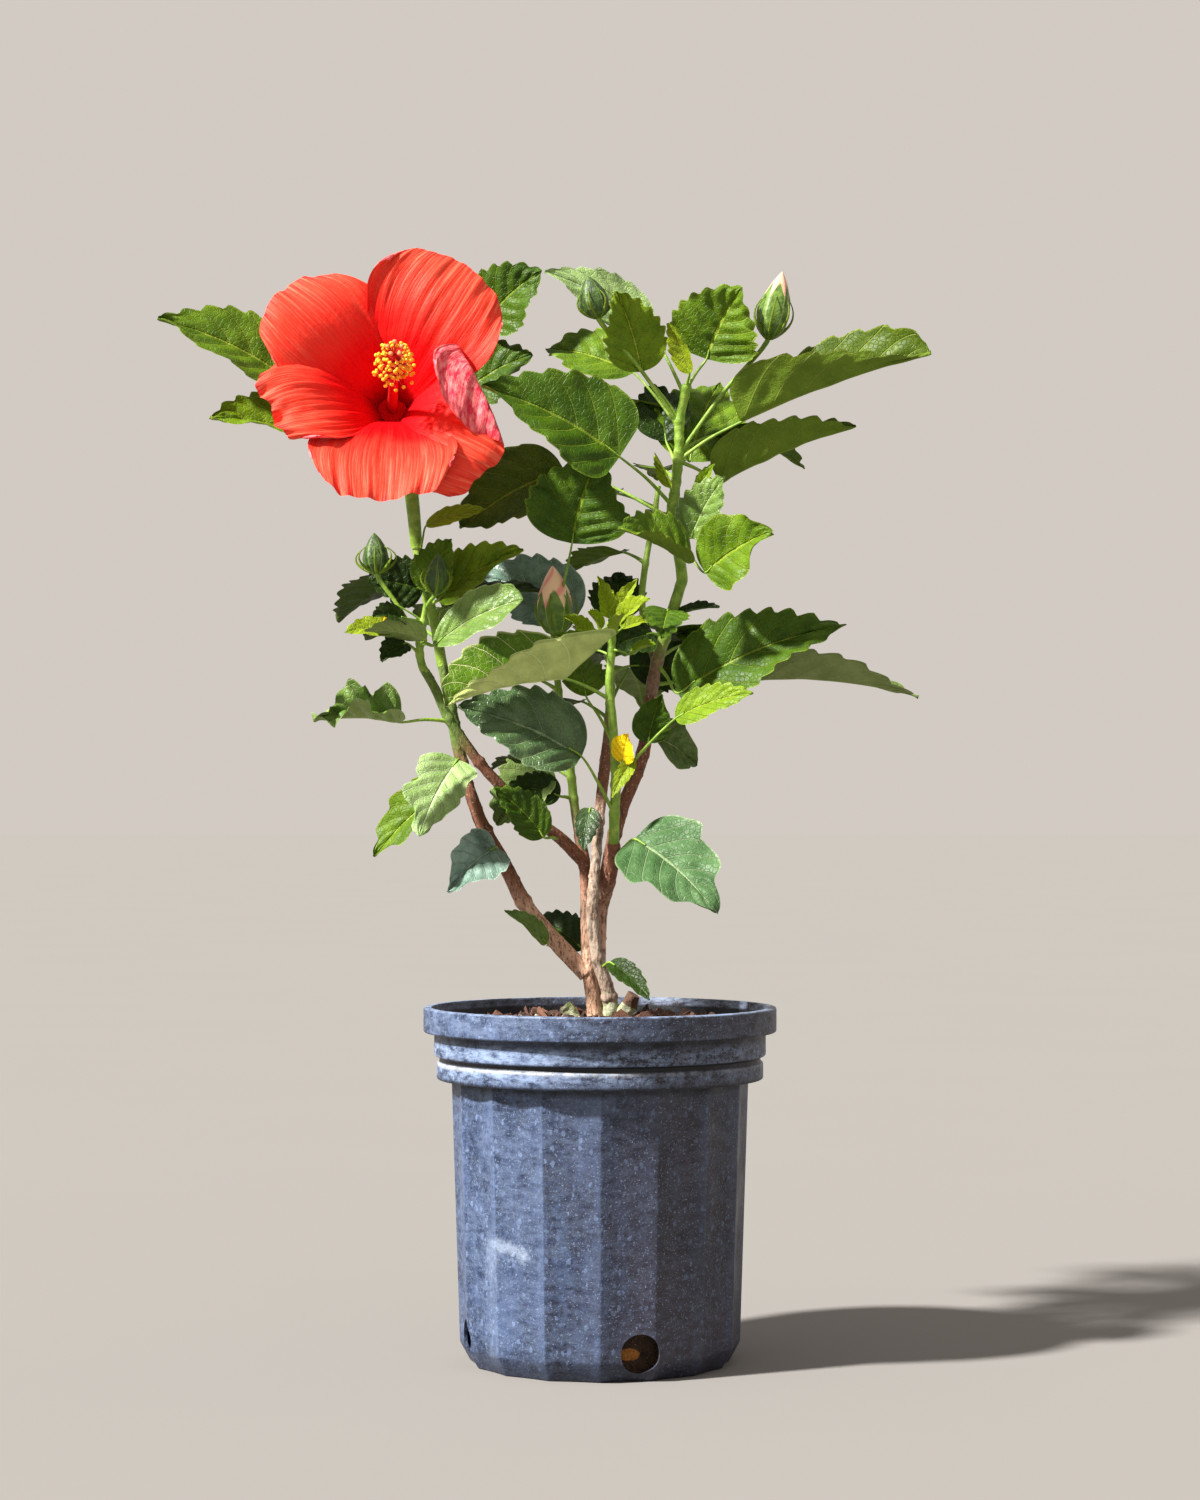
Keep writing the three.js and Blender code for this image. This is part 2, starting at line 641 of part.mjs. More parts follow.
// Each woody limb is built once; one that grows from another is cut clear of it
const limbCurves = {};
const limbSolids = {};
for (const [name, limb] of Object.entries(LIMBS)) {
  const [foot, tip] = limb.radii;
  limbCurves[name] = curveOf(limb.points);
  limbSolids[name] = limbSolid(limbCurves[name], foot, tip, limb.points.length * 2, LIMB_SIDES, limb.flare);
}

// The same limb grown by a small gap all round, to cut its neighbours clear
function limbRoom(name) {
  const limb = LIMBS[name];
  const [foot, tip] = limb.radii.map((radius) => radius + GAP * ROOM);
  return limbSolid(limbCurves[name], foot, tip, limb.points.length * 2, LIMB_SIDES, limb.flare);
}

// A stem that goes on from the tip of another one, a small gap clear of it
const stems = { ...limbCurves };
function growOn(from, points) {
  if (!from) {
    return curveOf(points);
  }
  const tip = stems[from].getPointAt(1);
  const way = stems[from].getTangentAt(1);
  const start = tip.clone().addScaledVector(way, GAP);
  const next = tip.clone().addScaledVector(way, GAP + 2);
  return curveOf([start.toArray(), next.toArray(), ...points]);
}

for (const [name, shoot] of Object.entries(SHOOTS)) {
  stems[name] = growOn(shoot.from, shoot.stem);
}

function bloomSolid() {
  const frame = bloomFrame();
  const throat = frame.centre.clone().addScaledVector(frame.axis, -BLOOM.depth - 2);
  const calyxFoot = throat.clone().addScaledVector(frame.axis, -BLOOM.cup);
  const parts = BLOOM.petals.map((petal, index) => petalSolid(frame, petal, index));
  const core = new THREE.CatmullRomCurve3([
    calyxFoot,
    throat,
    throat.clone().addScaledVector(frame.axis, BLOOM.cup / 2),
  ]);
  parts.push(limbSolid(core, ...BLOOM.cupRadii, 2, 8));
  const tip = throat.clone().addScaledVector(frame.axis, BLOOM.column);
  const columnRoute = new THREE.CatmullRomCurve3([throat, throat.clone().lerp(tip, 0.5), tip]);
  parts.push(limbSolid(columnRoute, ...BLOOM.columnRadii, 1, 6));
  const stamens = new THREE.SphereGeometry(BLOOM.stamenRadius, 8, 5);
  stamens.scale(1, 1.1, 1);
  stamens.translate(tip.x, tip.y, tip.z);
  parts.push(toSolid(stamens));
  const stalk = growOn('left_shoot', [[-88, 2, 400], [-92, 7, 424], calyxFoot.toArray()]);
  parts.push(limbSolid(stalk, 2, 2.6, 7, 6));
  return joinAll(parts);
}

addMesh('pot', toGeometry(potSolid()), COLOURS.pot, 0.6);
addMesh('potting_mix', toGeometry(mixSolid()), COLOURS.mix, 0.95);

for (const [name, limb] of Object.entries(LIMBS)) {
  const solid = limb.from ? limbSolids[name].subtract(limbRoom(limb.from)) : limbSolids[name];
  addMesh(name, toGeometry(mainBody(solid)), limb.colour, 0.85);
}

function leafOf(row) {
  const [length, turn, lift, width, face, fold] = row;
  return { length, turn, lift, width, face, fold };
}

for (const [name, shoot] of Object.entries(SHOOTS)) {
  const curve = stems[name];
  const [foot, tip] = shoot.radii;
  const parts = [limbSolid(curve, foot, tip, shoot.stem.length + 3, 5)];
  for (const [height, length, turn, lift, ...blade] of shoot.seen) {
    parts.push(stalkedLeaf(pointAtHeight(curve, height), [length, turn, lift], leafOf(blade)));
  }
  for (const [height, length, turn, lift, budLength, budTurn, budLift, width] of shoot.buds) {
    const bud = { length: budLength, turn: budTurn, lift: budLift, width };
    parts.push(stalkedBud(pointAtHeight(curve, height), [length, turn, lift], bud));
  }
  if (shoot.spiral) {
    parts.push(...spiralLeaves(curve, shoot.spiral));
  }
  addMesh(name, toGeometry(mainBody(joinAll(parts))), shoot.colour, 0.5);
}

for (const [name, [limb, height, length, turn, lift, ...blade]] of Object.entries(LOW_LEAVES)) {
  const node = pointAtHeight(limbCurves[limb], height);
  const leaf = stalkedLeaf(node, [length, turn, lift], leafOf(blade));
  addMesh(name, toGeometry(mainBody(leaf.subtract(limbRoom(limb)))), COLOURS.leaf, 0.5);
}

addMesh('red_bloom', toGeometry(mainBody(bloomSolid())), COLOURS.bloom, 0.6);

export default group;
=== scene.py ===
import math

import bpy
import numpy as np
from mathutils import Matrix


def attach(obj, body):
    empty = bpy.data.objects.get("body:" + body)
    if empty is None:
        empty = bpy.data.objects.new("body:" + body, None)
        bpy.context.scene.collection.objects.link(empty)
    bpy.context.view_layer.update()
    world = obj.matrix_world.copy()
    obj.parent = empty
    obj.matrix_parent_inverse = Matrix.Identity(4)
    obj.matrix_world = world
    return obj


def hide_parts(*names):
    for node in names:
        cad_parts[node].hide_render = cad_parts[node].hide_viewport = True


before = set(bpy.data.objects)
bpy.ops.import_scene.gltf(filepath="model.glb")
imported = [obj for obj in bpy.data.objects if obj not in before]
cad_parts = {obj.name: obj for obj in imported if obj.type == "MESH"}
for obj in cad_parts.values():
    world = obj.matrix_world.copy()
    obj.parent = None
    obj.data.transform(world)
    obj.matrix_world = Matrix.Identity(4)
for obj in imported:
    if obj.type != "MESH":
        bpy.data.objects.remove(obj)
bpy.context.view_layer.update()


# View: a plain pale floor under a pale sky, with one broad warm light high on the left in front.
# The camera stands where the photograph was taken from, 1.5 m in front of the pot's axis and
# 255 mm above the floor, tipped up by a little over a degree.
def linear(red, green, blue):
    """A colour of 0 to 255 as light: ((c + 0.055) / 1.055) to the power 2.4, or c / 12.92 when dark."""
    share = np.array([red, green, blue]) / 255
    light = np.where(share > 0.04045, ((share + 0.055) / 1.055) ** 2.4, share / 12.92)
    return (*(float(c) for c in light), 1.0)


def arithmetic(operation):
    """A method that takes one step of arithmetic with a value and another value or number."""
    return lambda self, other=0.0: reckon(operation, self, other)


class Value:
    """What one shader node gives: its kind, its inputs, which are numbers, colours or other values,
    the output that is read, and its settings. Arithmetic on values gives values, and x, y and z
    are the parts of a place."""
    __add__, __sub__, __mul__ = arithmetic("ADD"), arithmetic("SUBTRACT"), arithmetic("MULTIPLY")
    __pow__, __abs__ = arithmetic("POWER"), arithmetic("ABSOLUTE")
    x, y, z = (property(lambda self, part=part: Value("SeparateXYZ", {0: self}, part)) for part in "XYZ")

    def __init__(self, kind, inputs, output=0, **settings):
        self.kind, self.inputs, self.output, self.settings = "ShaderNode" + kind, inputs, output, settings

    def build(self, tree, built):
        """The output of this value's node, which is added to the tree when it is first asked for."""
        if self not in built:
            made = tree.nodes.new(self.kind)
            for name, setting in self.settings.items():
                setattr(made, name, setting)
            feed(tree, built, made.inputs, self.inputs)
            built[self] = made.outputs[self.output]
        return built[self]


OBJECT = Value("TexCoord", {}, "Object")
SURFACE = Value("UVMap", {}, "UV", uv_map="surface")
TONE = Value("Attribute", {}, "Fac", attribute_name="tone")


def feed(tree, built, sockets, inputs):
    """Each socket gets its number or its colour, or a link from the node of its value."""
    for socket, value in inputs.items():
        if isinstance(value, Value):
            tree.links.new(value.build(tree, built), sockets[socket])
        else:
            sockets[socket].default_value = value


def finish(name, colour, relief=None, depth=0.0, **sockets):
    """A new material. Its one shader takes the colour, what the other sockets are given, and the
    surface's own facing, tipped by the slope of a relief of the given depth in metres."""
    material = bpy.data.materials.new(name)
    material.use_nodes = True
    tree = material.node_tree
    inputs = {"Base Color": colour, **{socket.replace("_", " "): value for socket, value in sockets.items()}}
    if relief is not None:
        inputs["Normal"] = Value("Bump", {"Height": relief, "Distance": depth}, "Normal")
    feed(tree, {}, tree.nodes["Principled BSDF"].inputs, inputs)
    return material


def reckon(operation, first, second=0.0):
    """One step of arithmetic on one or two values."""
    return Value("Math", {0: first, 1: second}, operation=operation)


def greater(first, second):
    """The greater of two values at each place."""
    return reckon("MAXIMUM", first, second)


def vector(operation, *places):
    """One step of arithmetic on places, part by part, or their dot product or length."""
    output = "Value" if operation in ("DOT_PRODUCT", "LENGTH") else "Vector"
    return Value("VectorMath", dict(enumerate(places)), output, operation=operation)


def stretched(place, scale):
    """A place multiplied, part by part, by the scale."""
    return Value("Mapping", {"Vector": place, "Scale": scale})


def noise(scale, detail=3.0, roughness=0.5, where=OBJECT):
    """Cloudy values near 0.5, with scale patches to a unit of the place, by default to a metre."""
    return Value("TexNoise", {"Vector": where, "Scale": scale, "Detail": detail, "Roughness": roughness})


def spread(value, low, high, to_low=0.0, to_high=1.0):
    """The value from low to high carried to the range to_low to to_high, and held there beyond it."""
    return Value("MapRange", {
        "Value": value, "From Min": low, "From Max": high, "To Min": to_low, "To Max": to_high})


def mix(share, first, second):
    """The first colour where the share is 0, the second where it is 1."""
    first, second = (linear(*colour) if isinstance(colour, tuple) else colour for colour in (first, second))
    return Value("Mix", {0: share, 6: first, 7: second}, 2, data_type="RGBA")


camera = bpy.data.objects.new("camera", bpy.data.cameras.new("camera"))
camera.data.lens = 76.8
camera.data.sensor_width = 36
camera.location = (0, -1.5, 0.2547)
camera.rotation_euler = (math.radians(91.16), 0, 0)
bpy.context.scene.collection.objects.link(camera)
bpy.context.scene.camera = camera
bpy.context.scene.view_settings.view_transform = "Standard"

key_lamp = bpy.data.lights.new("key_light", "SUN")
key_lamp.angle = math.radians(4)
key_lamp.energy = 10.4
key_lamp.color = (1.0, 0.965, 0.91)
key = bpy.data.objects.new("key_light", key_lamp)
key.rotation_euler = (math.radians(47), 0, math.radians(-62))
bpy.context.scene.collection.objects.link(key)

world = bpy.data.worlds.new("sky")
world.use_nodes = True
world.node_tree.nodes["Background"].inputs["Color"].default_value = linear(255, 246, 237)
world.node_tree.nodes["Background"].inputs["Strength"].default_value = 0.645
bpy.context.scene.world = world

floor_mesh = bpy.data.meshes.new("floor")
floor_mesh.from_pydata([(-40, -40, 0), (40, -40, 0), (40, 40, 0), (-40, 40, 0)], [], [(0, 1, 2, 3)])
floor = bpy.data.objects.new("floor", floor_mesh)
bpy.context.scene.collection.objects.link(floor)
floor_finish = finish("pale_floor", mix(noise(3), (128, 126, 124), (130, 128, 126)), Roughness=0.9,
                      Specular_IOR_Level=0.0)
floor_mesh.materials.append(floor_finish)


# Pot: a blow-moulded nursery pot of slate-blue polyethylene. The body has sixteen flat facets that
# turn in at the foot; over it stand a bead, a groove, a neck and a rolled rim, all round. Four
# drain holes are drilled through the foot corner. Lengths are in millimetres, finishes in metres.
MM = 0.001
FACETS = 16


def softened(corners, radius, steps=5):
    """The corners of a profile, each one cut back by up to the radius and rounded off by the
    curve (1-t)^2 a + 2t(1-t) corner + t^2 b between the two cut points."""
    corners = np.array(corners, float)
    before = corners[:-2] - corners[1:-1]
    after = corners[2:] - corners[1:-1]
    reach_before = np.linalg.norm(before, axis=1, keepdims=True)
    reach_after = np.linalg.norm(after, axis=1, keepdims=True)
    start = corners[1:-1] + before / reach_before * np.minimum(radius, reach_before * 0.45)
    end = corners[1:-1] + after / reach_after * np.minimum(radius, reach_after * 0.45)
    t = np.linspace(0, 1, steps)[None, :, None]
    bends = (1 - t) ** 2 * start[:, None] + 2 * t * (1 - t) * corners[1:-1, None] + t ** 2 * end[:, None]
    return np.concatenate([corners[:1], bends.reshape(-1, 2), corners[-1:]])


def grid(*parts):
    """Places from their parts, each part carried over the rows and columns of the others."""
    return np.stack(np.broadcast_arrays(*parts), -1)


def cells(index, closed=False):
    """The four corners of every cell of a grid of point numbers; a closed grid goes on from its
    last column to its first."""
    if closed:
        index = np.concatenate([index, index[:, :1]], axis=1)
    return np.stack([index[:-1, :-1], index[:-1, 1:], index[1:, 1:], index[1:, :-1]], axis=-1).reshape(-1, 4)


def barrel(rows, sides):
    """The faces of rings of points, counted ring by ring, and of the two fans that close the first
    ring and the last; the middles of the fans are the two points after the rings."""
    count = rows * sides
    first, last = np.arange(sides), np.arange(count - sides, count)
    fans = [np.stack([np.full(sides, count), np.roll(first, -1), first], -1),
            np.stack([np.full(sides, count + 1), last, np.roll(last, -1)], -1)]
    return cells(np.arange(count).reshape(rows, sides), True), np.concatenate(fans)


def all_round(count):
    """Equal angles all round, in radians."""
    return np.linspace(0, 2 * np.pi, count, endpoint=False)


def part(points, quads, tris=(), tone=0.0, surface=None, finish=0):
    """A closed skin: its points in millimetres, its faces of four and of three corners, a tone from
    0 to 1 and a place on its own surface for each point, and the number of its finish."""
    points = np.asarray(points, float).reshape(-1, 3)
    return {
        "points": points,
        "quads": np.asarray(quads, int).reshape(-1, 4),
        "tris": np.asarray(tris, int).reshape(-1, 3),
        "tone": np.broadcast_to(np.asarray(tone, float), len(points)),
        "surface": np.zeros((len(points), 2)) if surface is None else np.reshape(surface, (-1, 2)),
        "finish": finish,
    }


def make_piece(name, parts, finishes, slot, *nodes):
    """One object from many parts: their points one after another, each part's faces counted on
    from the last, with the parts' own finishes, riding on the plant and standing for the nodes."""
    counts = np.cumsum([0] + [len(p["points"]) for p in parts])
    points = np.concatenate([p["points"] for p in parts]) * MM
    quads = np.concatenate([p["quads"] + first for p, first in zip(parts, counts)])
    tris = np.concatenate([p["tris"] + first for p, first in zip(parts, counts)])
    corners = np.concatenate([quads.ravel(), tris.ravel()])
    starts = np.concatenate([np.arange(len(quads)) * 4, len(quads) * 4 + np.arange(len(tris)) * 3])
    finish = np.concatenate([np.full(len(p["quads"]), p["finish"]) for p in parts]
                            + [np.full(len(p["tris"]), p["finish"]) for p in parts])
    mesh = bpy.data.meshes.new(name)
    mesh.vertices.add(len(points))
    mesh.vertices.foreach_set("co", points.ravel())
    mesh.loops.add(len(corners))
    mesh.loops.foreach_set("vertex_index", corners)
    mesh.polygons.add(len(starts))
    mesh.polygons.foreach_set("loop_start", starts)
    used, slots = np.unique(finish, return_inverse=True)
    for number in used:
        mesh.materials.append(finishes[int(number)])
    mesh.polygons.foreach_set("material_index", slots)
    mesh.update(calc_edges=True)
    surface = mesh.uv_layers.new(name="surface")
    surface.data.foreach_set("uv", np.concatenate([p["surface"] for p in parts])[corners].ravel())
    tone = mesh.attributes.new("tone", "FLOAT", "POINT")
    tone.data.foreach_set("value", np.concatenate([p["tone"] for p in parts]))
    mesh.shade_smooth()
    mesh.set_sharp_from_angle(angle=math.radians(48))
    mesh.validate()
    made = bpy.data.objects.new(name, mesh)
    bpy.context.scene.collection.objects.link(made)
    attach(made, "root")
    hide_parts(*nodes)
    return made


def turned(profile, facets=0.0, finish=0):
    """A profile of radius and height turned about the pot's axis, its columns crowded towards the
    corners of sixteen sides. Where the facet share is 1 the section is a polygon with its corners
    on the radius, where 0 a circle: the radius is multiplied by cos(11.25) / cos(angle from the
    middle of the nearest side), and each side is hollowed by 0.7 mm cos(90 degrees of the way to
    its corner). The tone is 1 along the corners and fades along the flank that leads up to them."""
    radius, height = np.array(profile, float).T
    half_side = np.pi / FACETS
    steps = np.array([-1, -0.94, -0.82, -0.68, -0.5, -0.3, -0.1, 0.1, 0.3, 0.5, 0.68, 0.82, 0.94])
    off = np.tile(steps * half_side, FACETS)
    angle = np.repeat(np.arange(FACETS) * 2 * half_side, len(steps)) + off + half_side
    polygon = np.minimum(np.cos(half_side) / np.cos(off), 0.9985)
    share = np.broadcast_to(np.asarray(facets, float), len(radius))[:, None]
    hollow = 0.7 * share * np.cos(off / half_side * np.pi / 2)
    reach = radius[:, None] * (1 + share * (polygon - 1)) - hollow
    points = grid(reach * np.cos(angle), reach * np.sin(angle), height[:, None])
    inner = points[1:-1]
    ends = np.array([[0, 0, height[0]], [0, 0, height[-1]]])
    flank = np.where(off < -half_side * 0.99, 1.0, 0.6 * np.clip((off / half_side - 0.4) / 0.4, 0, 1))
    corner = (share * flank)[1:-1]
    return part(np.concatenate([inner.reshape(-1, 3), ends]), *barrel(len(inner), len(angle)),
                np.append(corner, [0, 0]), finish=finish)


ledge = 131.7
outside = softened([
    (0, 0), (60.5, 0), (65.5, 9), (69.5, ledge), (76.3, ledge), (76.3, 139.3), (75.0, 139.9), (75.0, 142.0),
    (77.5, 142.6), (77.5, 153.5), (82.5, 153.5), (82.5, 165), (78.9, 165)], 1.1)
inside = softened([
    (78.9, 165), (77.9, 155.1), (74, 151.5), (74, 133.3), (67.7, 133.3), (63.9, 9), (59.5, 1.6),
    (0, 1.6)], 1.1)
pot_profile = np.concatenate([outside, inside[1:]])
facet_share = np.where(pot_profile[:, 1] < ledge + 1.8, np.where(pot_profile[:, 0] < 69.8, 1.0, 0.0), 0.0)

height = OBJECT.z
# Painted light: the pot's colour and its marks are brighter and bluer on the side that faces the sun and
# darker on the side away from it; part of this is the plastic's own weathering, part is painted light and
# shade.
painted_sun_side = spread(vector("DOT_PRODUCT", OBJECT, (-13.0, -7.0, 0.0)), 0.05, 0.98)


def painted_sunlight(share):
    """A painted light mask: 1 on the side of the pot that faces the sun, and the share on the side away from
    it.
    """
    return spread(painted_sun_side, 0.0, 1.0, share, 1.0)


def band(low, full, gone, less, *shares):
    """1 between the heights full and less, in metres, and 0 under low and over gone."""
    return spread(height, low, full, *shares) * spread(height, gone, less)


# The plastic's slate, near black on the side away from the sun and slate blue on the sunlit side: partly its
# own tone, partly painted light and shade.
shade_side_slate = mix(spread(noise(22, 5, 0.6), 0.36, 0.66), (30, 26, 33), (51, 45, 54))
sun_side_slate = mix(spread(noise(34, 6, 0.7), 0.38, 0.64), (16, 23, 42), (40, 56, 88))
upright = stretched(OBJECT, (1.0, 1.0, 0.14))
# Pale streaks in the plastic, painted brighter on the sunlit side.
streaks = spread(noise(170, 5, 0.65, upright), 0.48, 0.72, 0, 0.5) * painted_sunlight(0.3)
paint = mix(streaks, mix(painted_sun_side, shade_side_slate, sun_side_slate), (72, 92, 132))
# Pale mottling, only on the sunlit side: partly weathering, partly painted light.
mottle = spread(noise(430, 5, 0.75), 0.46, 0.66, 0, 0.5) * painted_sun_side
paint = mix(mottle, paint, (82, 103, 144))
unsteady = Value("TexNoise", {"Vector": OBJECT, "Scale": 500.0, "Detail": 3.0}, "Color")
drop_way = vector("ADD", OBJECT, vector("MULTIPLY", unsteady, (0.0024, 0.0024, 0.0024)))
drop_cells = {"Vector": stretched(drop_way, (1.0, 1.0, 0.7)), "Scale": 400.0, "Randomness": 1.0}
chance = Value("TexVoronoi", drop_cells, "Color")
drop_edge = Value("TexVoronoi", drop_cells, "Distance") - spread(chance.x, 0.35, 1.0, 0.0, 0.44)
# Drop marks, painted brighter on the sunlit side.
drops = spread(drop_edge, 0.06, -0.06) * spread(chance.y, 0.0, 1.0, 0.12, 0.72) * painted_sunlight(0.45)
paint = mix(drops, paint, (108, 128, 166))
paint = mix(spread(noise(1300, 2, 0.6), 0.61, 0.70, 0, 0.7), paint, (136, 152, 182))
# Whitish dust towards the top, painted brighter on the sunlit side.
haze = spread(noise(34, 6, 0.7), 0.50, 0.74, 0, 0.34) * spread(height, 0.05, 0.125, 0.25, 1.0) * painted_sunlight(0.25)
paint = mix(haze, paint, (134, 144, 172))
paint = mix(spread(noise(420, 3, 0.7), 0.38, 0.30, 0, 0.8), paint, (26, 28, 40))
# Lighter facet corners and the flank that leads up to each: partly wear, partly a painted highlight,
# strongest on the sunlit side.
worn_and_highlit_edges = TONE * spread(noise(90, 4, 0.65, upright), 0.36, 0.66, 0.2, 0.75) * painted_sunlight(0.3)
paint = mix(worn_and_highlit_edges, paint, (90, 108, 144))

powder = spread(noise(300, 6, 0.75, stretched(OBJECT, (0.35, 0.35, 1.0))), 0.40, 0.60)
bead_face = band(0.1325, 0.1365, 0.1402, 0.1394, 0.2, 0.9)
neck_foot = spread(height, 0.1422, 0.1430) * spread(height, 0.1530, 0.1475, 0.25, 1.0)
rim_band = spread(height, 0.1530, 0.1545, 0, 0.32)
rim_edge = spread(height, 0.1640, 0.1649, 0, 0.9)
# Chalky powder on the bead face, the neck's foot and the rim band, painted brighter on the sunlit side; the
# pale line along the rim's top edge is chalk and a painted highlight.
chalk_and_sunlight = greater(greater(bead_face, greater(neck_foot, rim_band)) * painted_sunlight(0.4), rim_edge)
paint = mix(chalk_and_sunlight * powder, paint, (138, 157, 190))
# Dark flecks on the bead face and the neck's foot, more of them towards +x.
dark_flecks = greater(bead_face, neck_foot) * spread(noise(420, 5, 0.72), 0.52, 0.58)
paint = mix(dark_flecks * spread(OBJECT.x, -0.022, 0.010, 0, 0.9), paint, (22, 24, 34))
# A creamy line along the bead's top edge: partly chalk, partly a painted highlight, strongest on the sunlit
# side.
bead_chalk_and_highlight = spread(noise(200, 5, 0.7), 0.36, 0.60, 0.1, 0.8) * spread(painted_sun_side, 0.0, 0.7, 0.25, 1.0)
paint = mix(band(0.1375, 0.1392, 0.1404, 0.1397) * bead_chalk_and_highlight, paint, (180, 182, 184))
# Painted shade with some grime: near black in the groove and in bands just under the rim and just under the
# bead.
groove_shade = band(0.1396, 0.1402, 0.1427, 0.1421)
under_ledge_shade = greater(band(0.1490, 0.1515, 0.1545, 0.1537), band(0.1270, 0.1300, 0.1335, 0.1325))
shade_and_grime = greater(groove_shade * 0.95, under_ledge_shade * spread(noise(120, 4, 0.6), 0.3, 0.6, 0.35, 0.8))
paint = mix(shade_and_grime, paint, (13, 14, 19))

from_scuff = vector("SUBTRACT", OBJECT, (-0.0405, -0.052, 0.0583))
aside, above = from_scuff.x, from_scuff.z
ragged = (noise(260, 6, 0.8) - 0.5) * 0.0170
bar = (spread(abs(above + aside * 0.25 + ragged), 0.0040, 0.0006, 0, 0.42)
       * spread(abs(aside + ragged), 0.0090, 0.0078))
leg_height = spread(above, -0.026, -0.004, 0.25, 0.8) * spread(above, 0.0046, 0.0030)
leg = spread(abs(aside + 0.0090 + ragged), 0.0036, 0.0004, 0, 0.26) * leg_height
paint = mix(greater(bar, leg) * spread(OBJECT.y, -0.03, -0.04), paint, (176, 192, 214))
# Painted shade: darker towards the foot, where the pot meets the floor.
paint = mix(spread(height, 0.016, 0.002, 0, 0.55), paint, (34, 34, 42))

from_axis = vector("LENGTH", Value("CombineXYZ", {0: OBJECT.x, 1: OBJECT.y}))
within = spread(from_axis, 0.0800, 0.0790) * spread(height, 0.1533, 0.1537)
# Painted sunlight, chalky, on the top few millimetres of the inside wall, strongest towards +x.
painted_sunlit_lip = within * spread(OBJECT.x, -0.01, 0.03, 0.1, 0.8) * spread(height, 0.1608, 0.1618) * powder
paint = mix(painted_sunlit_lip, paint, (150, 164, 190))
# Painted shade with soil stain: the inside wall below that, nearly black.
paint = mix(within * spread(height, 0.1618, 0.1608) * 0.9, paint, (10, 11, 16))
# The pot's paint: weathering together with the painted light and shade above.
pot_finish = finish("weathered_pot_plastic_and_painted_light", paint, noise(420, 3, 0.6) + drops * 0.5, 0.0003,
                    Roughness=spread(noise(60, 4), 0.3, 0.7, 0.40, 0.60), Specular_IOR_Level=0.35)

pot = make_piece("pot_shell", [turned(pot_profile, facet_share)], {0: pot_finish}, "pot_plastic", "pot")
holes, first_turn, hole_radius, hole_height, drill_from, drill_length = 4, 286.5, 9, 13, 50.0, 30
circle = all_round(40)
rings = np.arange(2 * len(circle)).reshape(2, -1)
for number in range(holes):
    turn = math.radians(first_turn + 360 / holes * number)
    ring = grid(drill_from, hole_radius * np.cos(circle), hole_height + hole_radius * np.sin(circle))
    drill = np.concatenate([ring, ring + (drill_length, 0, 0)])
    turning = np.array([[math.cos(turn), math.sin(turn)], [-math.sin(turn), math.cos(turn)]])
    drill[:, :2] = drill[:, :2] @ turning
    drill_mesh = bpy.data.meshes.new("drill")
    faces = [*cells(rings, True).tolist(), rings[0, ::-1].tolist(), rings[1].tolist()]
    drill_mesh.from_pydata((drill * MM).tolist(), [], faces)
    drill_body = bpy.data.objects.new("drill", drill_mesh)
    bpy.context.scene.collection.objects.link(drill_body)
    cut = pot.modifiers.new("drain", "BOOLEAN")
    cut.object = drill_body
    cut.operation = "DIFFERENCE"
    cut.solver = "EXACT"
    shown = pot.evaluated_get(bpy.context.evaluated_depsgraph_get())
    drilled = bpy.data.meshes.new_from_object(shown)
    pot.modifiers.remove(cut)
    pot.data = drilled
    bpy.data.objects.remove(drill_body)


# Potting mix: composted bark that fills the pot to a few millimetres under the rim, one orange
# chip of it at the front drain hole. Bark chips lie loose on it, with pale pebbles between them.
def grain(points, size, seed):
    """Smooth random height from -1 to 1: seeded values on a lattice of the given size, blended
    between the corners of each cell by 3t^2 - 2t^3 along each side."""
    span = 16
    lattice = np.random.default_rng(seed).uniform(-1, 1, (span, span, span))
    place = np.asarray(points, float) / size
    cell = np.floor(place).astype(int)
    t = place - cell
    t = t * t * (3 - 2 * t)
    height = 0
    for corner in np.ndindex(2, 2, 2):
        at = (cell + corner) % span
        weight = np.prod(np.where(np.array(corner) == 1, t, 1 - t), axis=-1)
        height = height + lattice[at[..., 0], at[..., 1], at[..., 2]] * weight
    return height


MIX_RADIUS = 73.4


def soil_height(radius):
    """The mix's top by distance from the axis: heaped in the middle, sunk towards the wall."""
    return np.interp(radius, [0, 18, 30, 44, 60, MIX_RADIUS], [157.2, 158.0, 158.2, 157.6, 154.8, 153.2])


across = np.linspace(0, MIX_RADIUS, 90)
mix_profile = np.concatenate([
    np.stack([across, soil_height(across)], -1),
    [(MIX_RADIUS, 134.2), (65.0, 133.6), (61.5, 30), (55.0, 22), (54.0, 6), (54.0, 2.2), (0, 2.2)]])[::-1]
mix_body = turned(mix_profile)
top = (mix_body["points"][:, 2] > 150) & (np.hypot(*mix_body["points"][:, :2].T) < 73)
crumbs = mix_body["points"][top]
mix_body["points"][top, 2] += 1.1 * grain(crumbs, 5.0, 7) + 0.6 * grain(crumbs, 2.2, 8) - 0.9

clods = mix(spread(noise(240, 6, 0.7), 0.35, 0.65), (38, 27, 21), (86, 62, 46))
grit = mix(spread(noise(900, 2, 0.6), 0.64, 0.70, 0, 0.8), clods, (150, 136, 118))
from_chip = vector("SUBTRACT", OBJECT, (0.013, -0.052, 0.0115))
chip_far = vector("LENGTH", stretched(from_chip, (1.0, 0.5, 1.7))) + noise(300, 2) * 0.002
orange = mix(noise(800, 3, 0.6), (120, 70, 24), (226, 150, 74))
mix_finish = finish("composted_bark", mix(spread(chip_far, 0.0062, 0.0056), grit, orange),
                    noise(700, 5, 0.7), 0.0012, Roughness=0.92)
make_piece("potting_mix_body", [mix_body], {0: mix_finish}, "potting_mix", "potting_mix")


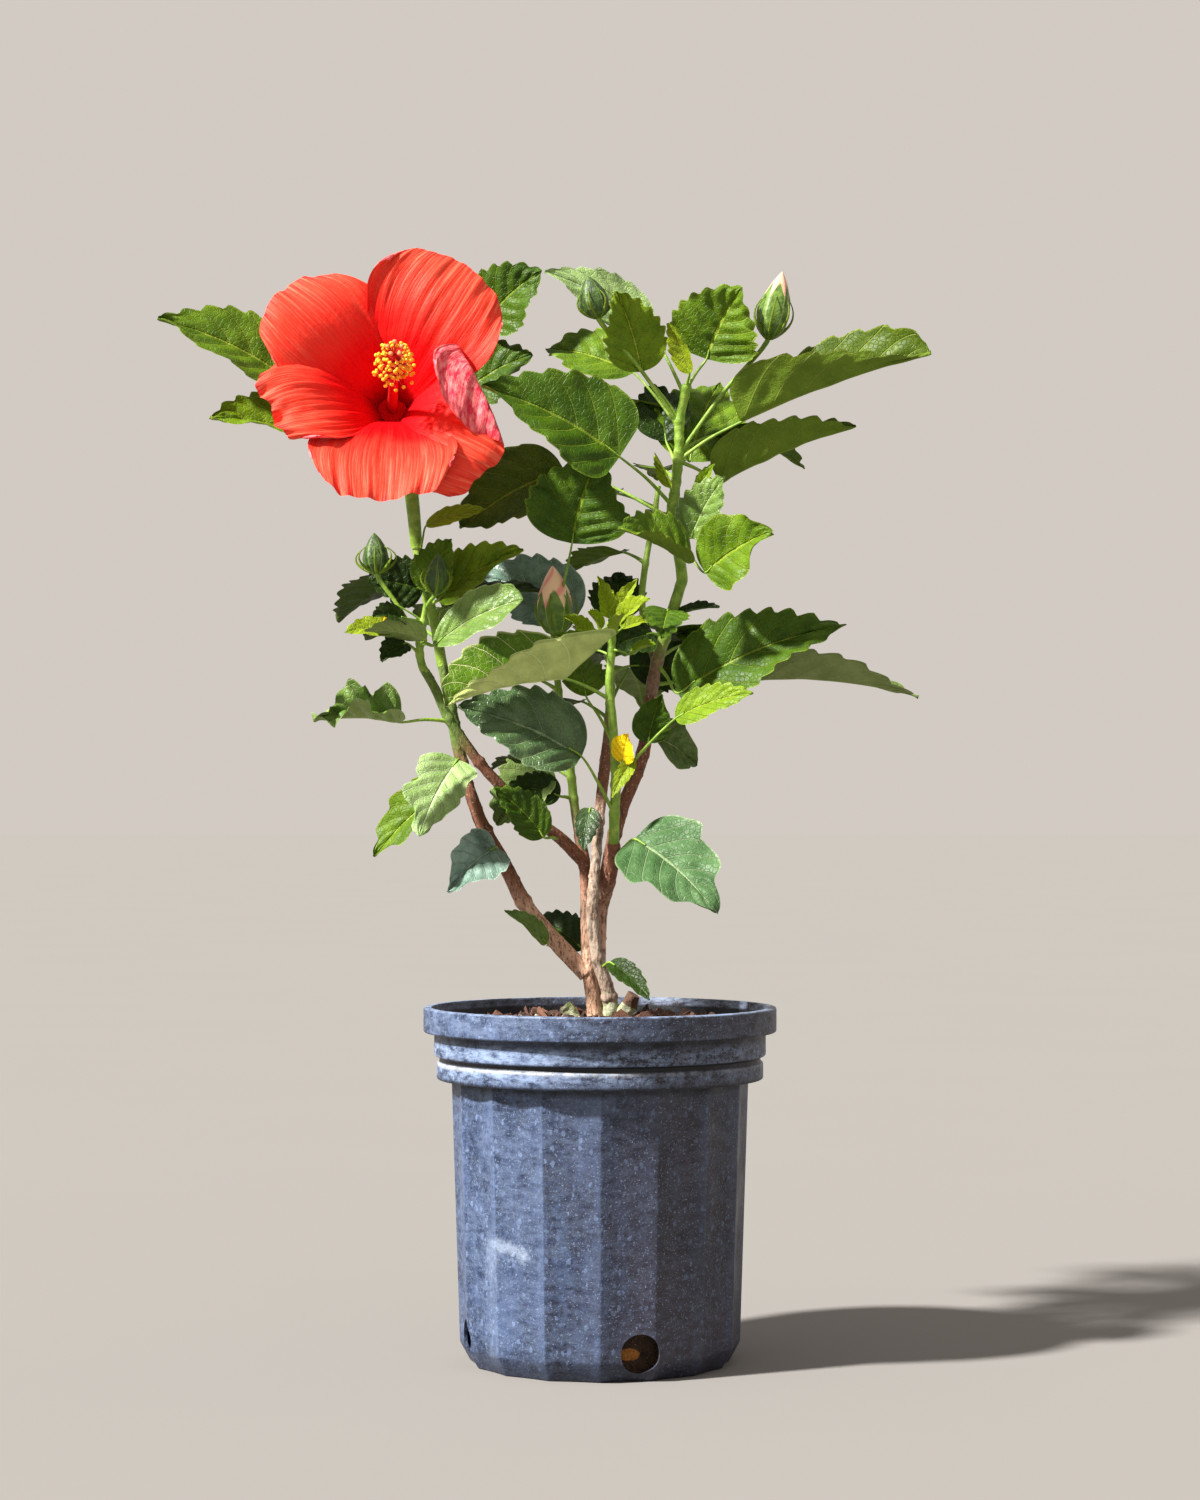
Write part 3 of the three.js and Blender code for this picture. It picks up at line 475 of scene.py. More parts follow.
def scattered(count, sizes, flat, reach, seed, jitter, sink):
    """Many small lumps at once: a ring of six points over another, closed by a point above and
    below, each lump scaled, roughened and turned by seeded amounts and laid on the mix."""
    random = np.random.default_rng(seed)
    angle = all_round(6)
    ring = np.stack([np.cos(angle), np.sin(angle), np.zeros(6)], -1)
    lump = np.concatenate([ring + (0, 0, -0.45), ring + (0, 0, 0.45), [[0, 0, -0.8], [0, 0, 0.8]]])
    turns = random.normal(0, 1, (count, 4)) * (0.35, 0.35, 1.0, 1.0)
    a, b, c, d = (turns / np.linalg.norm(turns, axis=1, keepdims=True)).T
    turning = np.stack([
        1 - 2 * (b * b + c * c), 2 * (a * b - c * d), 2 * (a * c + b * d),
        2 * (a * b + c * d), 1 - 2 * (a * a + c * c), 2 * (b * c - a * d),
        2 * (a * c - b * d), 2 * (b * c + a * d), 1 - 2 * (a * a + b * b)], -1).reshape(-1, 3, 3)
    size = random.uniform(*sizes, (count, 1)) * np.stack([
        np.ones(count), random.uniform(0.45, 0.9, count), random.uniform(*flat, count)], -1)
    shape = lump[None] * size[:, None] * (1 + random.uniform(-jitter, jitter, (count, *lump.shape)))
    shape = np.einsum("nij,nkj->nki", turning, shape)
    radius = reach * np.sqrt(random.uniform(0.02, 1, count))
    turn = random.uniform(0, 2 * np.pi, count)
    place = np.stack([radius * np.cos(turn), radius * np.sin(turn), soil_height(radius) + sink], -1)
    quads, tris = barrel(2, len(ring))
    first = np.arange(count)[:, None, None] * len(lump)
    tone = np.repeat(random.uniform(0, 1, count), len(lump))
    return part(shape + place[:, None], quads[None] + first, tris[None] + first, tone)


chip_colour = mix(TONE, (48, 30, 24), (120, 80, 60))
chip_colour = mix(spread(noise(700, 4, 0.7), 0.4, 0.7, 0, 0.7), chip_colour, (44, 30, 24))
chip_finish = finish("bark_chips", chip_colour, noise(1200, 3, 0.7), 0.0006, Roughness=0.85)
make_piece("bark_chips", [
    scattered(620, (2.0, 5.6), (0.16, 0.34), 70, 21, 0.28, 0.2),
    scattered(60, (3.5, 6.5), (0.2, 0.4), 56, 23, 0.3, 0.8),
], {0: chip_finish}, "potting_mix", "potting_mix")

pebble_colour = mix(TONE, (150, 142, 128), (214, 206, 190))
pebble_colour = mix(spread(noise(600, 3), 0.45, 0.7, 0, 0.5), pebble_colour, (120, 112, 100))
pebble_finish = finish("pale_pebbles", pebble_colour, noise(1500, 3), 0.0003, Roughness=0.6)
make_piece("pebbles", [scattered(90, (1.2, 3.4), (0.6, 0.9), 66, 22, 0.12, 0.6)], {0: pebble_finish},
           "potting_mix", "potting_mix")


# Woody limbs: the trunk with its two boughs, the grey stem, and the right stem with the bough that
# it sends to the front, with five old stubs at the grey stem's foot. Thin bark with fine furrows,
# corky spots and rings where old leaves stood. Each rises from the mix, or from the limb below it.
def curve_through(points):
    """A curve through the points: on each span a cubic whose end slopes are those of the three
    points about each end, weighted by the square roots of the distances between them. The end
    spans use a point mirrored beyond the end. It comes back as places an equal way apart."""
    points = np.array(points, float)
    points = np.concatenate([[2 * points[0] - points[1]], points, [2 * points[-1] - points[-2]]])
    reach = np.linalg.norm(np.diff(points, axis=0), axis=1)[:, None] ** 0.5
    a, b, c, d = points[:-3], points[1:-2], points[2:-1], points[3:]
    before, here, after = reach[:-2], reach[1:-1], reach[2:]
    slope_b = ((b - a) / before - (c - a) / (before + here) + (c - b) / here) * here
    slope_c = ((c - b) / here - (d - b) / (here + after) + (d - c) / after) * here
    t = np.linspace(0, 1, 24, endpoint=False)[None, :, None]
    spans = (b[:, None] + slope_b[:, None] * t + (3 * (c - b) - 2 * slope_b - slope_c)[:, None] * t ** 2
             + (2 * (b - c) + slope_b + slope_c)[:, None] * t ** 3)
    line = np.concatenate([spans.reshape(-1, 3), points[-2:-1]])
    length = np.concatenate([[0], np.cumsum(np.linalg.norm(np.diff(line, axis=0), axis=1))])
    even = np.linspace(0, length[-1], 400)
    return np.stack([np.interp(even, length, line[:, k]) for k in range(3)], -1)


def along(curve, t):
    """The places at the shares t of a curve's length."""
    return np.stack([np.interp(t, np.linspace(0, 1, len(curve)), curve[:, k]) for k in range(3)], -1)


def length_of(curve):
    """The length of a curve: the sum of its steps."""
    return float(np.linalg.norm(np.diff(curve, axis=0), axis=1).sum())


def unit(ways):
    """Each way divided by its own length."""
    return ways / np.linalg.norm(ways, axis=1, keepdims=True)


def tube(route, radius, sides, tone=0.0, finish=0):
    """A round section carried along a route: about each place a ring of equal angles in the plane
    across the way on, at the radius given for it, closed at both ends by a fan to the middle."""
    way = unit(np.gradient(route, axis=0))
    axis = np.eye(3)[np.abs(way).max(axis=0).argmin()]
    first = unit(np.cross(way, axis))
    second = np.cross(way, first)
    angle = all_round(sides)[None, :, None]
    ring = first[:, None] * np.cos(angle) + second[:, None] * np.sin(angle)
    rows = len(route)
    reach = np.broadcast_to(np.reshape(radius, (rows, -1)), (rows, sides))
    skin = route[:, None] + ring * reach[..., None]
    points = np.concatenate([skin.reshape(-1, 3), route[:1], route[-1:]])
    tone = np.broadcast_to(np.reshape(tone, (-1, 1)), (rows, sides)).ravel()
    return part(points, *barrel(rows, sides), np.append(tone, [tone[0], tone[-1]]), finish=finish)


def barrel_skin(angle, reach, way):
    """Places on a round skin of the given reach, for its grain: cosine, sine and the way along."""
    return grid(np.cos(angle) * reach, np.sin(angle) * reach, way[:, None])


def smooth_step(low, high, value):
    """0 below low, 1 above high, and 3t^2 - 2t^3 between them."""
    t = np.clip((np.asarray(value, float) - low) / (high - low), 0, 1)
    return t * t * (3 - 2 * t)


def limb(points, foot, tip, flare, seed, green_from=1e3, rings=(), roughness=1.0):
    """A limb on its curve: radius foot + (tip - foot) t + flare exp(-way / 7), with long furrows,
    round corky spots and swollen rings added to it, and a tone that falls from 1 on bark to 0 on
    green wood about a given height."""
    curve = curve_through(points)
    length = length_of(curve)
    row_step, spots_per_mm = 0.55, 0.55
    t = np.linspace(0, 1, int(length / row_step))
    route = along(curve, t)
    angle = all_round(44)
    distance = t * length
    radius = (foot + (tip - foot) * t + flare * np.exp(-distance / 7))[:, None] * np.ones(len(angle))
    for height, swell in rings:
        at = distance[np.abs(route[:, 2] - height).argmin()]
        uneven = 1 + 0.35 * np.sin(angle * 2 + height)
        radius += swell * np.exp(-((distance - at) / 1.7) ** 2)[:, None] * uneven
    skin = barrel_skin(angle, 4.2, distance * 0.22)
    furrows = grain(skin, 0.9, seed) * 0.16 + grain(skin * (1, 1, 2.5), 0.45, seed + 1) * 0.10
    lumps = grain(skin, 3.5, seed + 2) * 0.28
    radius += roughness * (furrows + lumps)
    random = np.random.default_rng(seed)
    for _ in range(int(length * spots_per_mm)):
        far = distance[:, None] - random.uniform(0, length)
        round_ = np.mod(angle[None] - random.uniform(0, 2 * np.pi) + np.pi, 2 * np.pi) - np.pi
        radius += roughness * 0.30 * np.exp(-(far / 0.75) ** 2 - (round_ * foot / 0.55) ** 2)
    tone = 1 - smooth_step(green_from - 9, green_from + 9, route[:, 2])
    return tube(route, radius, len(angle), tone)


def bark(name, young, old, furrow, turning):
    """Bark by its tone: green wood where it is 0, bark where it is 1, darker in the furrows. Over
    the turning height, in metres, the pale bark gives way to darker brown: on the brown limbs this
    is painted shade under the crown, paler below; on the grey stem it is grey bark turning brown."""
    upright = stretched(OBJECT, (1.0, 1.0, 0.3))
    ragged = OBJECT.z + noise(400, 4, 0.7, upright) * 0.012
    patch = mix(spread(noise(130, 4, 0.6), 0.38, 0.64), young, old)
    # Darker brown above the turning height: painted shade on the brown limbs, the bark's own colour on the
    # grey stem.
    patch = mix(spread(ragged, turning, turning + 0.02), patch, (128, 80, 56))
    lined = mix(spread(noise(900, 4, 0.65, upright), 0.52, 0.36, 0, 0.85), patch, furrow)
    spots = mix(spread(noise(1100, 1, 0.5), 0.66, 0.72, 0, 0.7), lined, (196, 178, 156))
    fresh = mix(spread(noise(500, 3, 0.6), 0.4, 0.7), (80, 108, 34), (112, 132, 62))
    return finish(name, mix(TONE, fresh, spots), noise(1000, 4, 0.65, upright), 0.0006, Roughness=0.78)


# The brown limbs darken over 212 mm: painted shade under the crown.
brown_bark = bark("brown_bark", (226, 184, 156), (188, 144, 118), (72, 44, 32), 0.212)
grey_bark = bark("grey_bark", (178, 160, 142), (140, 118, 102), (84, 64, 50), 0.254)


def brown_limb(name, points, *shape, **more):
    """A limb in brown bark, which comes back as its points."""
    make_piece(name + "_bark", [limb(points, *shape, **more)], {0: brown_bark}, "bark", name)
    return points


trunk_curve = brown_limb("trunk", [
    (-2.3, 0, 154), (-2.3, 0, 156.9), (-2.4, 0, 160), (-3.5, 0, 168), (-5.2, 0, 181), (-6.2, 1, 201),
    (-7, 3, 230), (-9.9, 4, 246)],
    3.2, 2.5, 1.6, 41, rings=[(182, 0.5), (231, 0.5)])
left_bough_curve = brown_limb("left_bough", [
    (-6.2, 0.1, 180), (-25, 3, 200), (-36, 4, 214), (-45, 5, 232), (-54, 6, 247), (-61, 7, 265),
    (-66, 8, 283), (-70, 8, 304), (-74.5, 8, 326)],
    4.0, 2.5, 0, 43, 284, [(214, 0.5), (247, 0.6), (279, 0.4), (305, 0.4)])
crossing_bough_curve = brown_limb("crossing_bough", [
    (-7, 3, 232), (-18, -4, 243), (-29, -10, 252), (-42, -15, 264), (-56, -20, 279), (-64, -22, 290),
    (-71, -23, 301), (-76, -22, 312), (-81, -20, 321)],
    3.0, 2, 0, 45, 288, [(252, 0.4), (279, 0.5), (299, 0.4)])
grey_stem_curve = [
    (6.2, -5.2, 154), (6.2, -5.2, 156.9), (6.1, -5.25, 160), (3.4, -7, 174), (-1, -8, 188), (-3.4, -8, 204),
    (-3, -7.5, 220), (-1.6, -5, 236), (-0.5, 0, 252), (1.2, 5, 268), (3.4, 9.5, 288)]
mossy = mix(spread(noise(260, 4, 0.6), 0.40, 0.62), (176, 178, 152), (126, 136, 84))
dead = mix(noise(700, 4, 0.7), (52, 34, 24), (112, 80, 58))
foot_finish = finish("green_foot", mix(spread(TONE, 0.3, 0.7), mossy, dead), noise(800, 4, 0.65), 0.0008,
                     Roughness=0.8)


def knob(points, foot, tip, seed, dry=2.0):
    """A stub: a rough tube on a curve, whose radius goes from foot to tip and is roughened by up to
    a fifth, with a tone that is 1 beyond the share dry of its length, where the wood is dead."""
    t = np.linspace(0, 1, 26)
    route = along(curve_through(points), t)
    angle = all_round(22)
    skin = barrel_skin(angle, 3, t * 10)
    rough = 1 + 0.2 * grain(skin, 2.4, seed) + 0.12 * grain(skin, 1.0, seed + 1)
    radius = (foot + (tip - foot) * t)[:, None] * rough
    return tube(route, radius, len(angle), smooth_step(dry - 0.05, dry + 0.05, t), finish=1)


make_piece("grey_stem_bark", [
    knob([(6.5, -6, 155), (10, -6.6, 160), (12.5, -7, 165), (16, -8, 171)], 4.2, 3.2, 61, 0.7),
    knob([(5.6, -5.4, 156), (5.2, -5.8, 163), (3.6, -7, 173)], 3.9, 2.9, 63),
    knob([(-8, -4, 157), (-12, -3.6, 161), (-16, -3, 166)], 2.0, 3.4, 65),
    knob([(12, -15, 156), (13, -15.5, 160)], 3.0, 1.8, 67),
    knob([(-10, -14, 156), (-10.5, -14, 160)], 2.8, 1.8, 69),
    limb(grey_stem_curve, 2.9, 2.3, 1.8, 47, roughness=1.3,
         rings=[(170, 0.8), (188, 0.4), (219, 0.4), (252, 0.5)]),
], {0: grey_bark, 1: foot_finish}, "grey_bark", "grey_stem")
right_bough_curve = brown_limb("right_bough", [
    (2, 8.5, 154), (2, 8.5, 156.9), (1.8, 8.5, 160), (-0.4, 9, 176), (0, 8.5, 200), (1, 7.5, 215),
    (3.6, 8.5, 231), (6.8, 10, 245), (11, 11.5, 259), (15, 11.5, 268.5), (19, 11.5, 279), (22, 11, 292.5),
    (23.6, 10.5, 306), (24.4, 10, 311)],
    3.2, 2.9, 1.6, 49, rings=[(214, 0.5), (246, 0.4), (283, 0.4), (306, 0.4)])
front_bough_curve = brown_limb("front_bough", [
    (1.5, 7, 214), (4, -1.5, 222), (6, -10, 232), (6.4, -15, 242)],
    3.0, 2.5, 0, 51, rings=[(223, 0.4), (240, 0.7)])


# Right shoot: brown at the foot, green above, with two long leaves low on the right, three small
# ones and a spray behind. Each leaf is a thin blade, quilted between its side veins and coarsely
# toothed, on a stalk that grows from a ring of the stem.
SIDE_VEINS = 6
BLADE_THICKNESS = 0.4
DROOP = 25
GOLDEN_ANGLE = 137.5


def heading(turn, lift):
    """The way of a compass turn, 0 along +X and 90 along +Y, at a lift above the horizontal."""
    turn, lift = np.radians(turn), np.radians(lift)
    return np.array([np.cos(lift) * np.cos(turn), np.cos(lift) * np.sin(turn), np.sin(lift)])


def place_at(curve, height):
    """The place where a rising curve comes to a height."""
    return along(curve, np.array([np.interp(height, curve[:, 2], np.linspace(0, 1, len(curve)))]))[0]


def half_width(u, width, rise, taper):
    """Half the blade's width: u^rise (1 - u)^taper, scaled so that its greatest value is width / 2."""
    peak = rise / (rise + taper)
    most = peak ** rise * (1 - peak) ** taper
    return np.maximum(0.5, width / 2 * u ** rise * (1 - u) ** taper / most)


def sheet(top, under, u, v, finish):
    """A thin skin of two grids of points, the underside within the edge of the top, with the edge
    shared by both. The tone is 0 on top and 1 under it, the place on the surface u and (v + 1) / 2."""
    rows, columns = top.shape[:2]
    index = np.arange(rows * columns).reshape(rows, columns)
    lower = index.copy()
    lower[1:-1, 1:-1] = rows * columns + np.arange((rows - 2) * (columns - 2)).reshape(rows - 2, columns - 2)
    surface = grid(u, v / 2 + 0.5)
    return part(
        np.concatenate([top.reshape(-1, 3), under.reshape(-1, 3)]),
        np.concatenate([cells(index)[:, [0, 3, 2, 1]], cells(lower)]),
        tone=np.repeat([0.0, 1.0], [rows * columns, (rows - 2) * (columns - 2)]),
        surface=np.concatenate([surface.reshape(-1, 2), surface[1:-1, 1:-1].reshape(-1, 2)]), finish=finish)


def facing(places):
    """The way each place of a grid faces: the cross product of its two slopes over its length."""
    way = np.cross(np.gradient(places, axis=0), np.gradient(places, axis=1))
    return way / (np.linalg.norm(way, axis=-1, keepdims=True) + 1e-9)


def blade(base, length, turn, lift, width, face, fold, finish, droop=DROOP, toward=270, rise=0.52, taper=0.95,
          teeth=8, depth=2.2, lobes=0.0, twist=0, sweep=0.0, wave=1.0, quilt=1.0, rows=66, columns=23,
          seed=0):
    """A leaf blade over u from stalk to tip and v from edge to edge. The midrib bends down evenly
    by droop; the face looks as nearly as it can towards one way; each half rises by its fold. To
    that are added: rounded forward teeth, a rising share of each step of u, cut back at its end;
    pillows between the side veins, sin^2 of the vein count; a furrow on the midrib; a slow warp;
    a wave along the edge; and foot lobes swept back by the sweep times the half width. Fold, rise,
    taper and sweep may differ for the two halves. Top and underside share the edge and part by
    the blade's thickness inside it."""
    u = np.linspace(0, 1, rows)[:, None]
    v = np.linspace(-1, 1, columns)[None, :]
    bend = math.radians(droop)
    half = bend * u / 2
    chord = np.sinc(half / np.pi)
    climb = math.radians(lift) + bend / 2
    level = heading(turn, 0)
    up = np.array([0, 0, 1.0])
    spine = base + length * (u * chord * np.cos(climb - half) * level + u * chord * np.sin(climb - half) * up)
    forward = np.cos(climb - bend * u) * level + np.sin(climb - bend * u) * up
    look = heading(toward, 90 - face)
    normal = unit(look - forward * (forward @ look)[:, None])
    side = np.cross(normal, forward)
    roll = np.radians(twist) * (u - 0.3)
    normal, side = normal * np.cos(roll) + side * np.sin(roll), side * np.cos(roll) - normal * np.sin(roll)
    random = np.random.default_rng(seed)
    phase = random.uniform(0, 1, 4)
    step = np.mod(teeth * (u ** 0.95) + np.where(v < 0, phase[0], phase[1]), 1)
    saw = np.where(step < 0.8, np.sin(step / 0.8 * np.pi / 2) ** 1.3, (1 - step) / 0.2)
    toothed = smooth_step(0.16, 0.36, u) * (1 - smooth_step(0.94, 1.0, u))
    edge = np.abs(v) ** 5
    pairs = [pair if isinstance(pair, tuple) else (pair, pair) for pair in (fold, rise, taper, sweep)]
    fold, rise, taper, sweep = (np.where(v > 0, *pair) for pair in pairs)
    outline = half_width(u, width, rise, taper)
    notches = 0.5 + 0.5 * np.cos(2 * np.pi * (2.4 * u + 0.12))
    outline = outline * (1 - lobes * notches * smooth_step(0.12, 0.3, u) * v ** 2)
    cut = depth * min(1, width / 30) * (saw - 0.5) * toothed * np.minimum(1, outline / (0.16 * width + 0.1))
    reach = np.maximum(outline + cut * edge, 0.35)
    soft = np.sqrt(v ** 2 + 0.012) - math.sqrt(0.012)
    tilt = np.radians(fold) * np.clip(0.55 + 0.45 * np.abs(v) / 0.3, 0, 1)
    across = v * reach * np.cos(tilt)
    raised = soft * reach * np.sin(tilt)
    w = u - 0.30 * np.abs(v) ** 1.15
    pillow = np.sin(np.pi * SIDE_VEINS * w) ** 2
    inner = (smooth_step(0.0, 0.15, np.abs(v)) * (1 - np.abs(v) ** 4)
             * smooth_step(0, 0.12, u) * (1 - smooth_step(0.86, 1, u)))
    size = min(1.0, width / 40)
    field = grid(u * 2.6 + 7 * phase[2], v * 1.5, phase[3] * 9)
    warp = grain(field, 1.0, 300 + seed % 50) * 1.7 * (0.25 + np.abs(v)) + grain(field * 4, 1.0, 400) * 0.35
    swell = quilt * size * (1.0 * pillow * inner - 0.35 * np.exp(-(v / 0.07) ** 2)) + size * warp
    rolling = np.sin(2 * np.pi * (2.3 * u + np.where(v < 0, phase[2], phase[3])))
    swell = swell + wave * size * (rolling * v ** 2 * (1.6 * u + 0.3) + 0.5 * saw * edge * toothed)
    swell = swell * smooth_step(-0.02, 0.12, u)
    across = across - np.sign(v) * swell * np.sin(tilt)
    raised = raised + swell * np.cos(tilt)
    lean = 0.9 * saw * edge * toothed * size - sweep * outline * np.abs(v) ** 1.3 * (1 - u) ** 1.5
    top = (spine[:, None] + side[:, None] * across[..., None] + normal[:, None] * raised[..., None]
           + forward[:, None] * lean[..., None])
    slope = facing(top)
    outside = np.sign((slope * normal[:, None]).sum(-1, keepdims=True)[rows // 2, columns // 2])
    thick = BLADE_THICKNESS * (1 - np.abs(v) ** 3) * np.ones_like(u)
    under = (top + outside * -slope * thick[..., None])[1:-1, 1:-1]
    return sheet(top, under, u, v, finish)


def leaf_finish(name, top, light, under, vein, roughness):
    """A leaf's skin: the top colour clouded with a lighter one, pale lines on the midrib and on the
    side veins that lie where the blade's furrows do, a fine net between them, a lighter edge, and a
    duller, paler underside where the tone is 1."""
    off = abs((SURFACE.y - 0.5) * 2.0)
    w = SURFACE.x - off ** 1.15 * 0.30
    beat = abs(reckon("SINE", w * (math.pi * SIDE_VEINS)))
    veins = greater(spread(beat, 0.13, 0.03) * spread(w, -0.10, -0.04), spread(off, 0.05, 0.018))
    mesh = Value("TexVoronoi", {"Vector": OBJECT, "Scale": 430.0}, "Distance", feature="DISTANCE_TO_EDGE")
    net = spread(mesh, 0.08, 0.0)
    clouds = mix(spread(noise(70, 4, 0.6), 0.36, 0.66), top, light)
    upper = mix(veins * 0.75, mix(net * 0.18, clouds, vein), vein)
    upper = mix(spread(off, 0.95, 1.0, 0, 0.7), upper, vein)
    shaded = mix(spread(noise(90, 4, 0.6), 0.36, 0.64, 0, 0.35), under, top)
    lower = mix(greater(veins, net * 0.35) * 0.6, shaded, vein)
    gloss = spread(noise(160, 3), 0.3, 0.7, roughness - 0.05, roughness + 0.1)
    sunk = (veins + net * 0.3) * spread(TONE, 0.0, 1.0, -1.0, 0.5)
    return finish(name, mix(TONE, upper, lower), noise(380, 3, 0.6) * 0.7 + sunk, 0.0006,
                  Roughness=gloss + TONE * 0.15, Specular_IOR_Level=0.2 if roughness > 0.41 else 0.42)


# For each shade: top, clouds on it, underside and veins, and how rough it is. Besides the leaves'
# own greens, from young lime to old dark green and yellow, the shades carry painted light and
# shade: dark and deep stand partly for leaves in shade; bright, lime and mint partly for sunlit
# ones; the underside of olive and of the backlit shade for sun shining through the blade; blue and
# the pale blue-grey glossy shade for a painted sky reflection.
LEAF = {shade: leaf_finish("leaf_" + shade, *colours) for shade, *colours in [
    ("mid", (62, 92, 2), (90, 120, 10), (106, 127, 36), (142, 160, 48), 0.46),
    ("bright", (84, 114, 4), (112, 140, 12), (128, 149, 46), (160, 176, 60), 0.46),
    ("lime", (114, 136, 8), (138, 158, 20), (142, 160, 48), (174, 186, 78), 0.48),
    ("pale", (77, 110, 32), (107, 136, 56), (132, 149, 78), (170, 188, 124), 0.40),
    ("jade", (52, 86, 44), (80, 114, 70), (98, 118, 76), (142, 164, 120), 0.42),
    ("mint", (124, 154, 84), (154, 180, 118), (144, 170, 108), (190, 206, 164), 0.44),
    ("deep", (42, 72, 2), (66, 96, 6), (94, 116, 36), (116, 138, 38), 0.44),
    ("dark", (22, 42, 3), (37, 61, 7), (70, 88, 30), (76, 98, 30), 0.42),
    ("olive", (54, 77, 3), (80, 101, 9), (98, 123, 28), (132, 148, 50), 0.46),
    # Painted light: a pale bright underside for sun shining through the blade.
    ("glow", (56, 90, 3), (88, 124, 10), (190, 204, 122), (214, 222, 150), 0.48),
    ("grey", (68, 94, 34), (100, 122, 62), (132, 146, 88), (158, 170, 108), 0.46),
    # Painted reflection: bluish glossy greens that stand for the sky reflected in the blade.
    ("blue", (46, 74, 36), (80, 106, 64), (96, 116, 72), (134, 156, 116), 0.33),
    ("frost", (78, 108, 90), (140, 168, 156), (112, 138, 116), (176, 198, 182), 0.33),
    ("yellow", (242, 196, 2), (250, 216, 12), (234, 200, 22), (248, 224, 60), 0.5),
]}
SHADES = list(LEAF)
leaf_finishes = dict(enumerate(LEAF.values()))

sappy = mix(spread(noise(260, 3, 0.6), 0.4, 0.65), (108, 144, 32), (142, 172, 60))
corky = mix(spread(noise(500, 4, 0.7), 0.4, 0.62), (138, 104, 80), (96, 70, 52))
stalk_finish = finish("green_stalk", mix(TONE, sappy, corky), noise(1300, 3, 0.6), 0.0003, Roughness=0.5)


def stalk(place, length, turn, lift, blade_length, blade_turn, blade_lift, width, droop=DROOP):
    """A leaf's stalk: a curve from the stem's ring through a place a little above the middle of
    the straight way to the blade's foot and on into the midrib, thicker at both ends."""
    base = place + heading(turn, lift) * length
    into = base + heading(blade_turn, blade_lift + droop / 2) * blade_length * 0.12
    curve = curve_through([place, (place + base) / 2 + (0, 0, length * 0.04), base, into])
    t = np.linspace(0, 1, 20)
    thick = min(1.0, width * 0.06)
    radius = thick * (1 + (0.4 / thick - 1) * t) + 0.45 * thick * np.exp(-t * length / 1.6)
    return tube(along(curve, t), radius, 9), base


def spiral(curve, seed, count, low, high, middle, sweep, length, stalk_length, shades):
    """Leaves on the far side, set up the stem by the golden angle: the turn of leaf i is middle +
    sweep sin(137.5 i), its sizes and lifts come from a seeded series, state x 16807 mod 2^31 - 1."""
    state, modulus = seed, 2 ** 31 - 1
    rows = []
    for number in range(count):
        draws = []
        for _ in range(6):
            state = state * 16807 % modulus
            draws.append(state / modulus)
        turn = middle + sweep * math.sin(math.radians(GOLDEN_ANGLE * (number + 1)))
        blade_length = length * (0.8 + 0.35 * draws[0])
        rows.append((
            low + (high - low) * (number + 0.5) / count, stalk_length * (0.7 + 0.6 * draws[1]), turn,
            15 + 20 * draws[2], blade_length, turn + 30 * (draws[3] - 0.5), -22 + 24 * draws[4],
            blade_length * 0.66, 14 + 16 * draws[5], 14, shades[number % len(shades)],
            {"toward": turn, "droop": 30}))
    return rows


def grown_on(curve, points):
    """A stem that goes on from the tip of another curve: from just inside it, then its own points."""
    way = curve[-1] - curve[-2]
    way /= np.linalg.norm(way)
    return curve_through([curve[-1] + way * 0.3, curve[-1] + way * 2.3, *points])


def leafy(place_of, rows, seed):
    """The blades and the stalks of a list of leaves. A row gives the height on the stem, length,
    turn and lift of the stalk, the same of the blade, the blade's width, the tip of its face, its
    fold and its shade, and what else the blade is to be told."""
    blades, stalks = [], []
    for number, row in enumerate(rows):
        height, *stalk_way, width, face, fold, shade = row[:11]
        extra = dict(row[11]) if len(row) > 11 else {}
        made, base = stalk(place_of(height), *stalk_way, width, extra.get("droop", DROOP))
        stalks.append(made)
        extra.setdefault("seed", seed * 100 + number)
        if width < 16:
            extra = {"teeth": 6, "rows": 34, "columns": 13, **extra}
        blades.append(blade(base, *stalk_way[3:], width, face, fold, SHADES.index(shade), **extra))
    return blades, stalks


def dress_shoot(name, curve, foot, tip, rows, seed, green_from=0.0):
    """A shoot's stem and stalks as one piece and its blades as another: the stem's radius goes
    from foot to tip, with a ring where each stalk leaves it."""
    length = length_of(curve)
    t = np.linspace(0, 1, max(40, int(length / 0.9)))
    way = curve[1] - curve[0]
    route = np.concatenate([[curve[0] - way / np.linalg.norm(way) * 1.6], along(curve, t)])
    t = np.concatenate([[0], t])
    radius = foot + (tip - foot) * t
    for row in rows:
        radius = radius + 0.32 * np.exp(-((route[:, 2] - row[0]) / 1.3) ** 2)
    angle = all_round(18)
    radius = radius[:, None] + 0.12 * grain(barrel_skin(angle, 2, route[:, 2] * 0.2), 0.8, seed)
    stem = tube(route, radius, len(angle), 1 - smooth_step(green_from - 10, green_from + 10, route[:, 2]))
    blades, stalks = leafy(lambda height: place_at(curve, height), rows, seed)
    make_piece(name + "_stems", [stem, *stalks], {0: stalk_finish}, "leaf", name)
    make_piece(name + "_leaves", blades, leaf_finishes, "leaf", name)


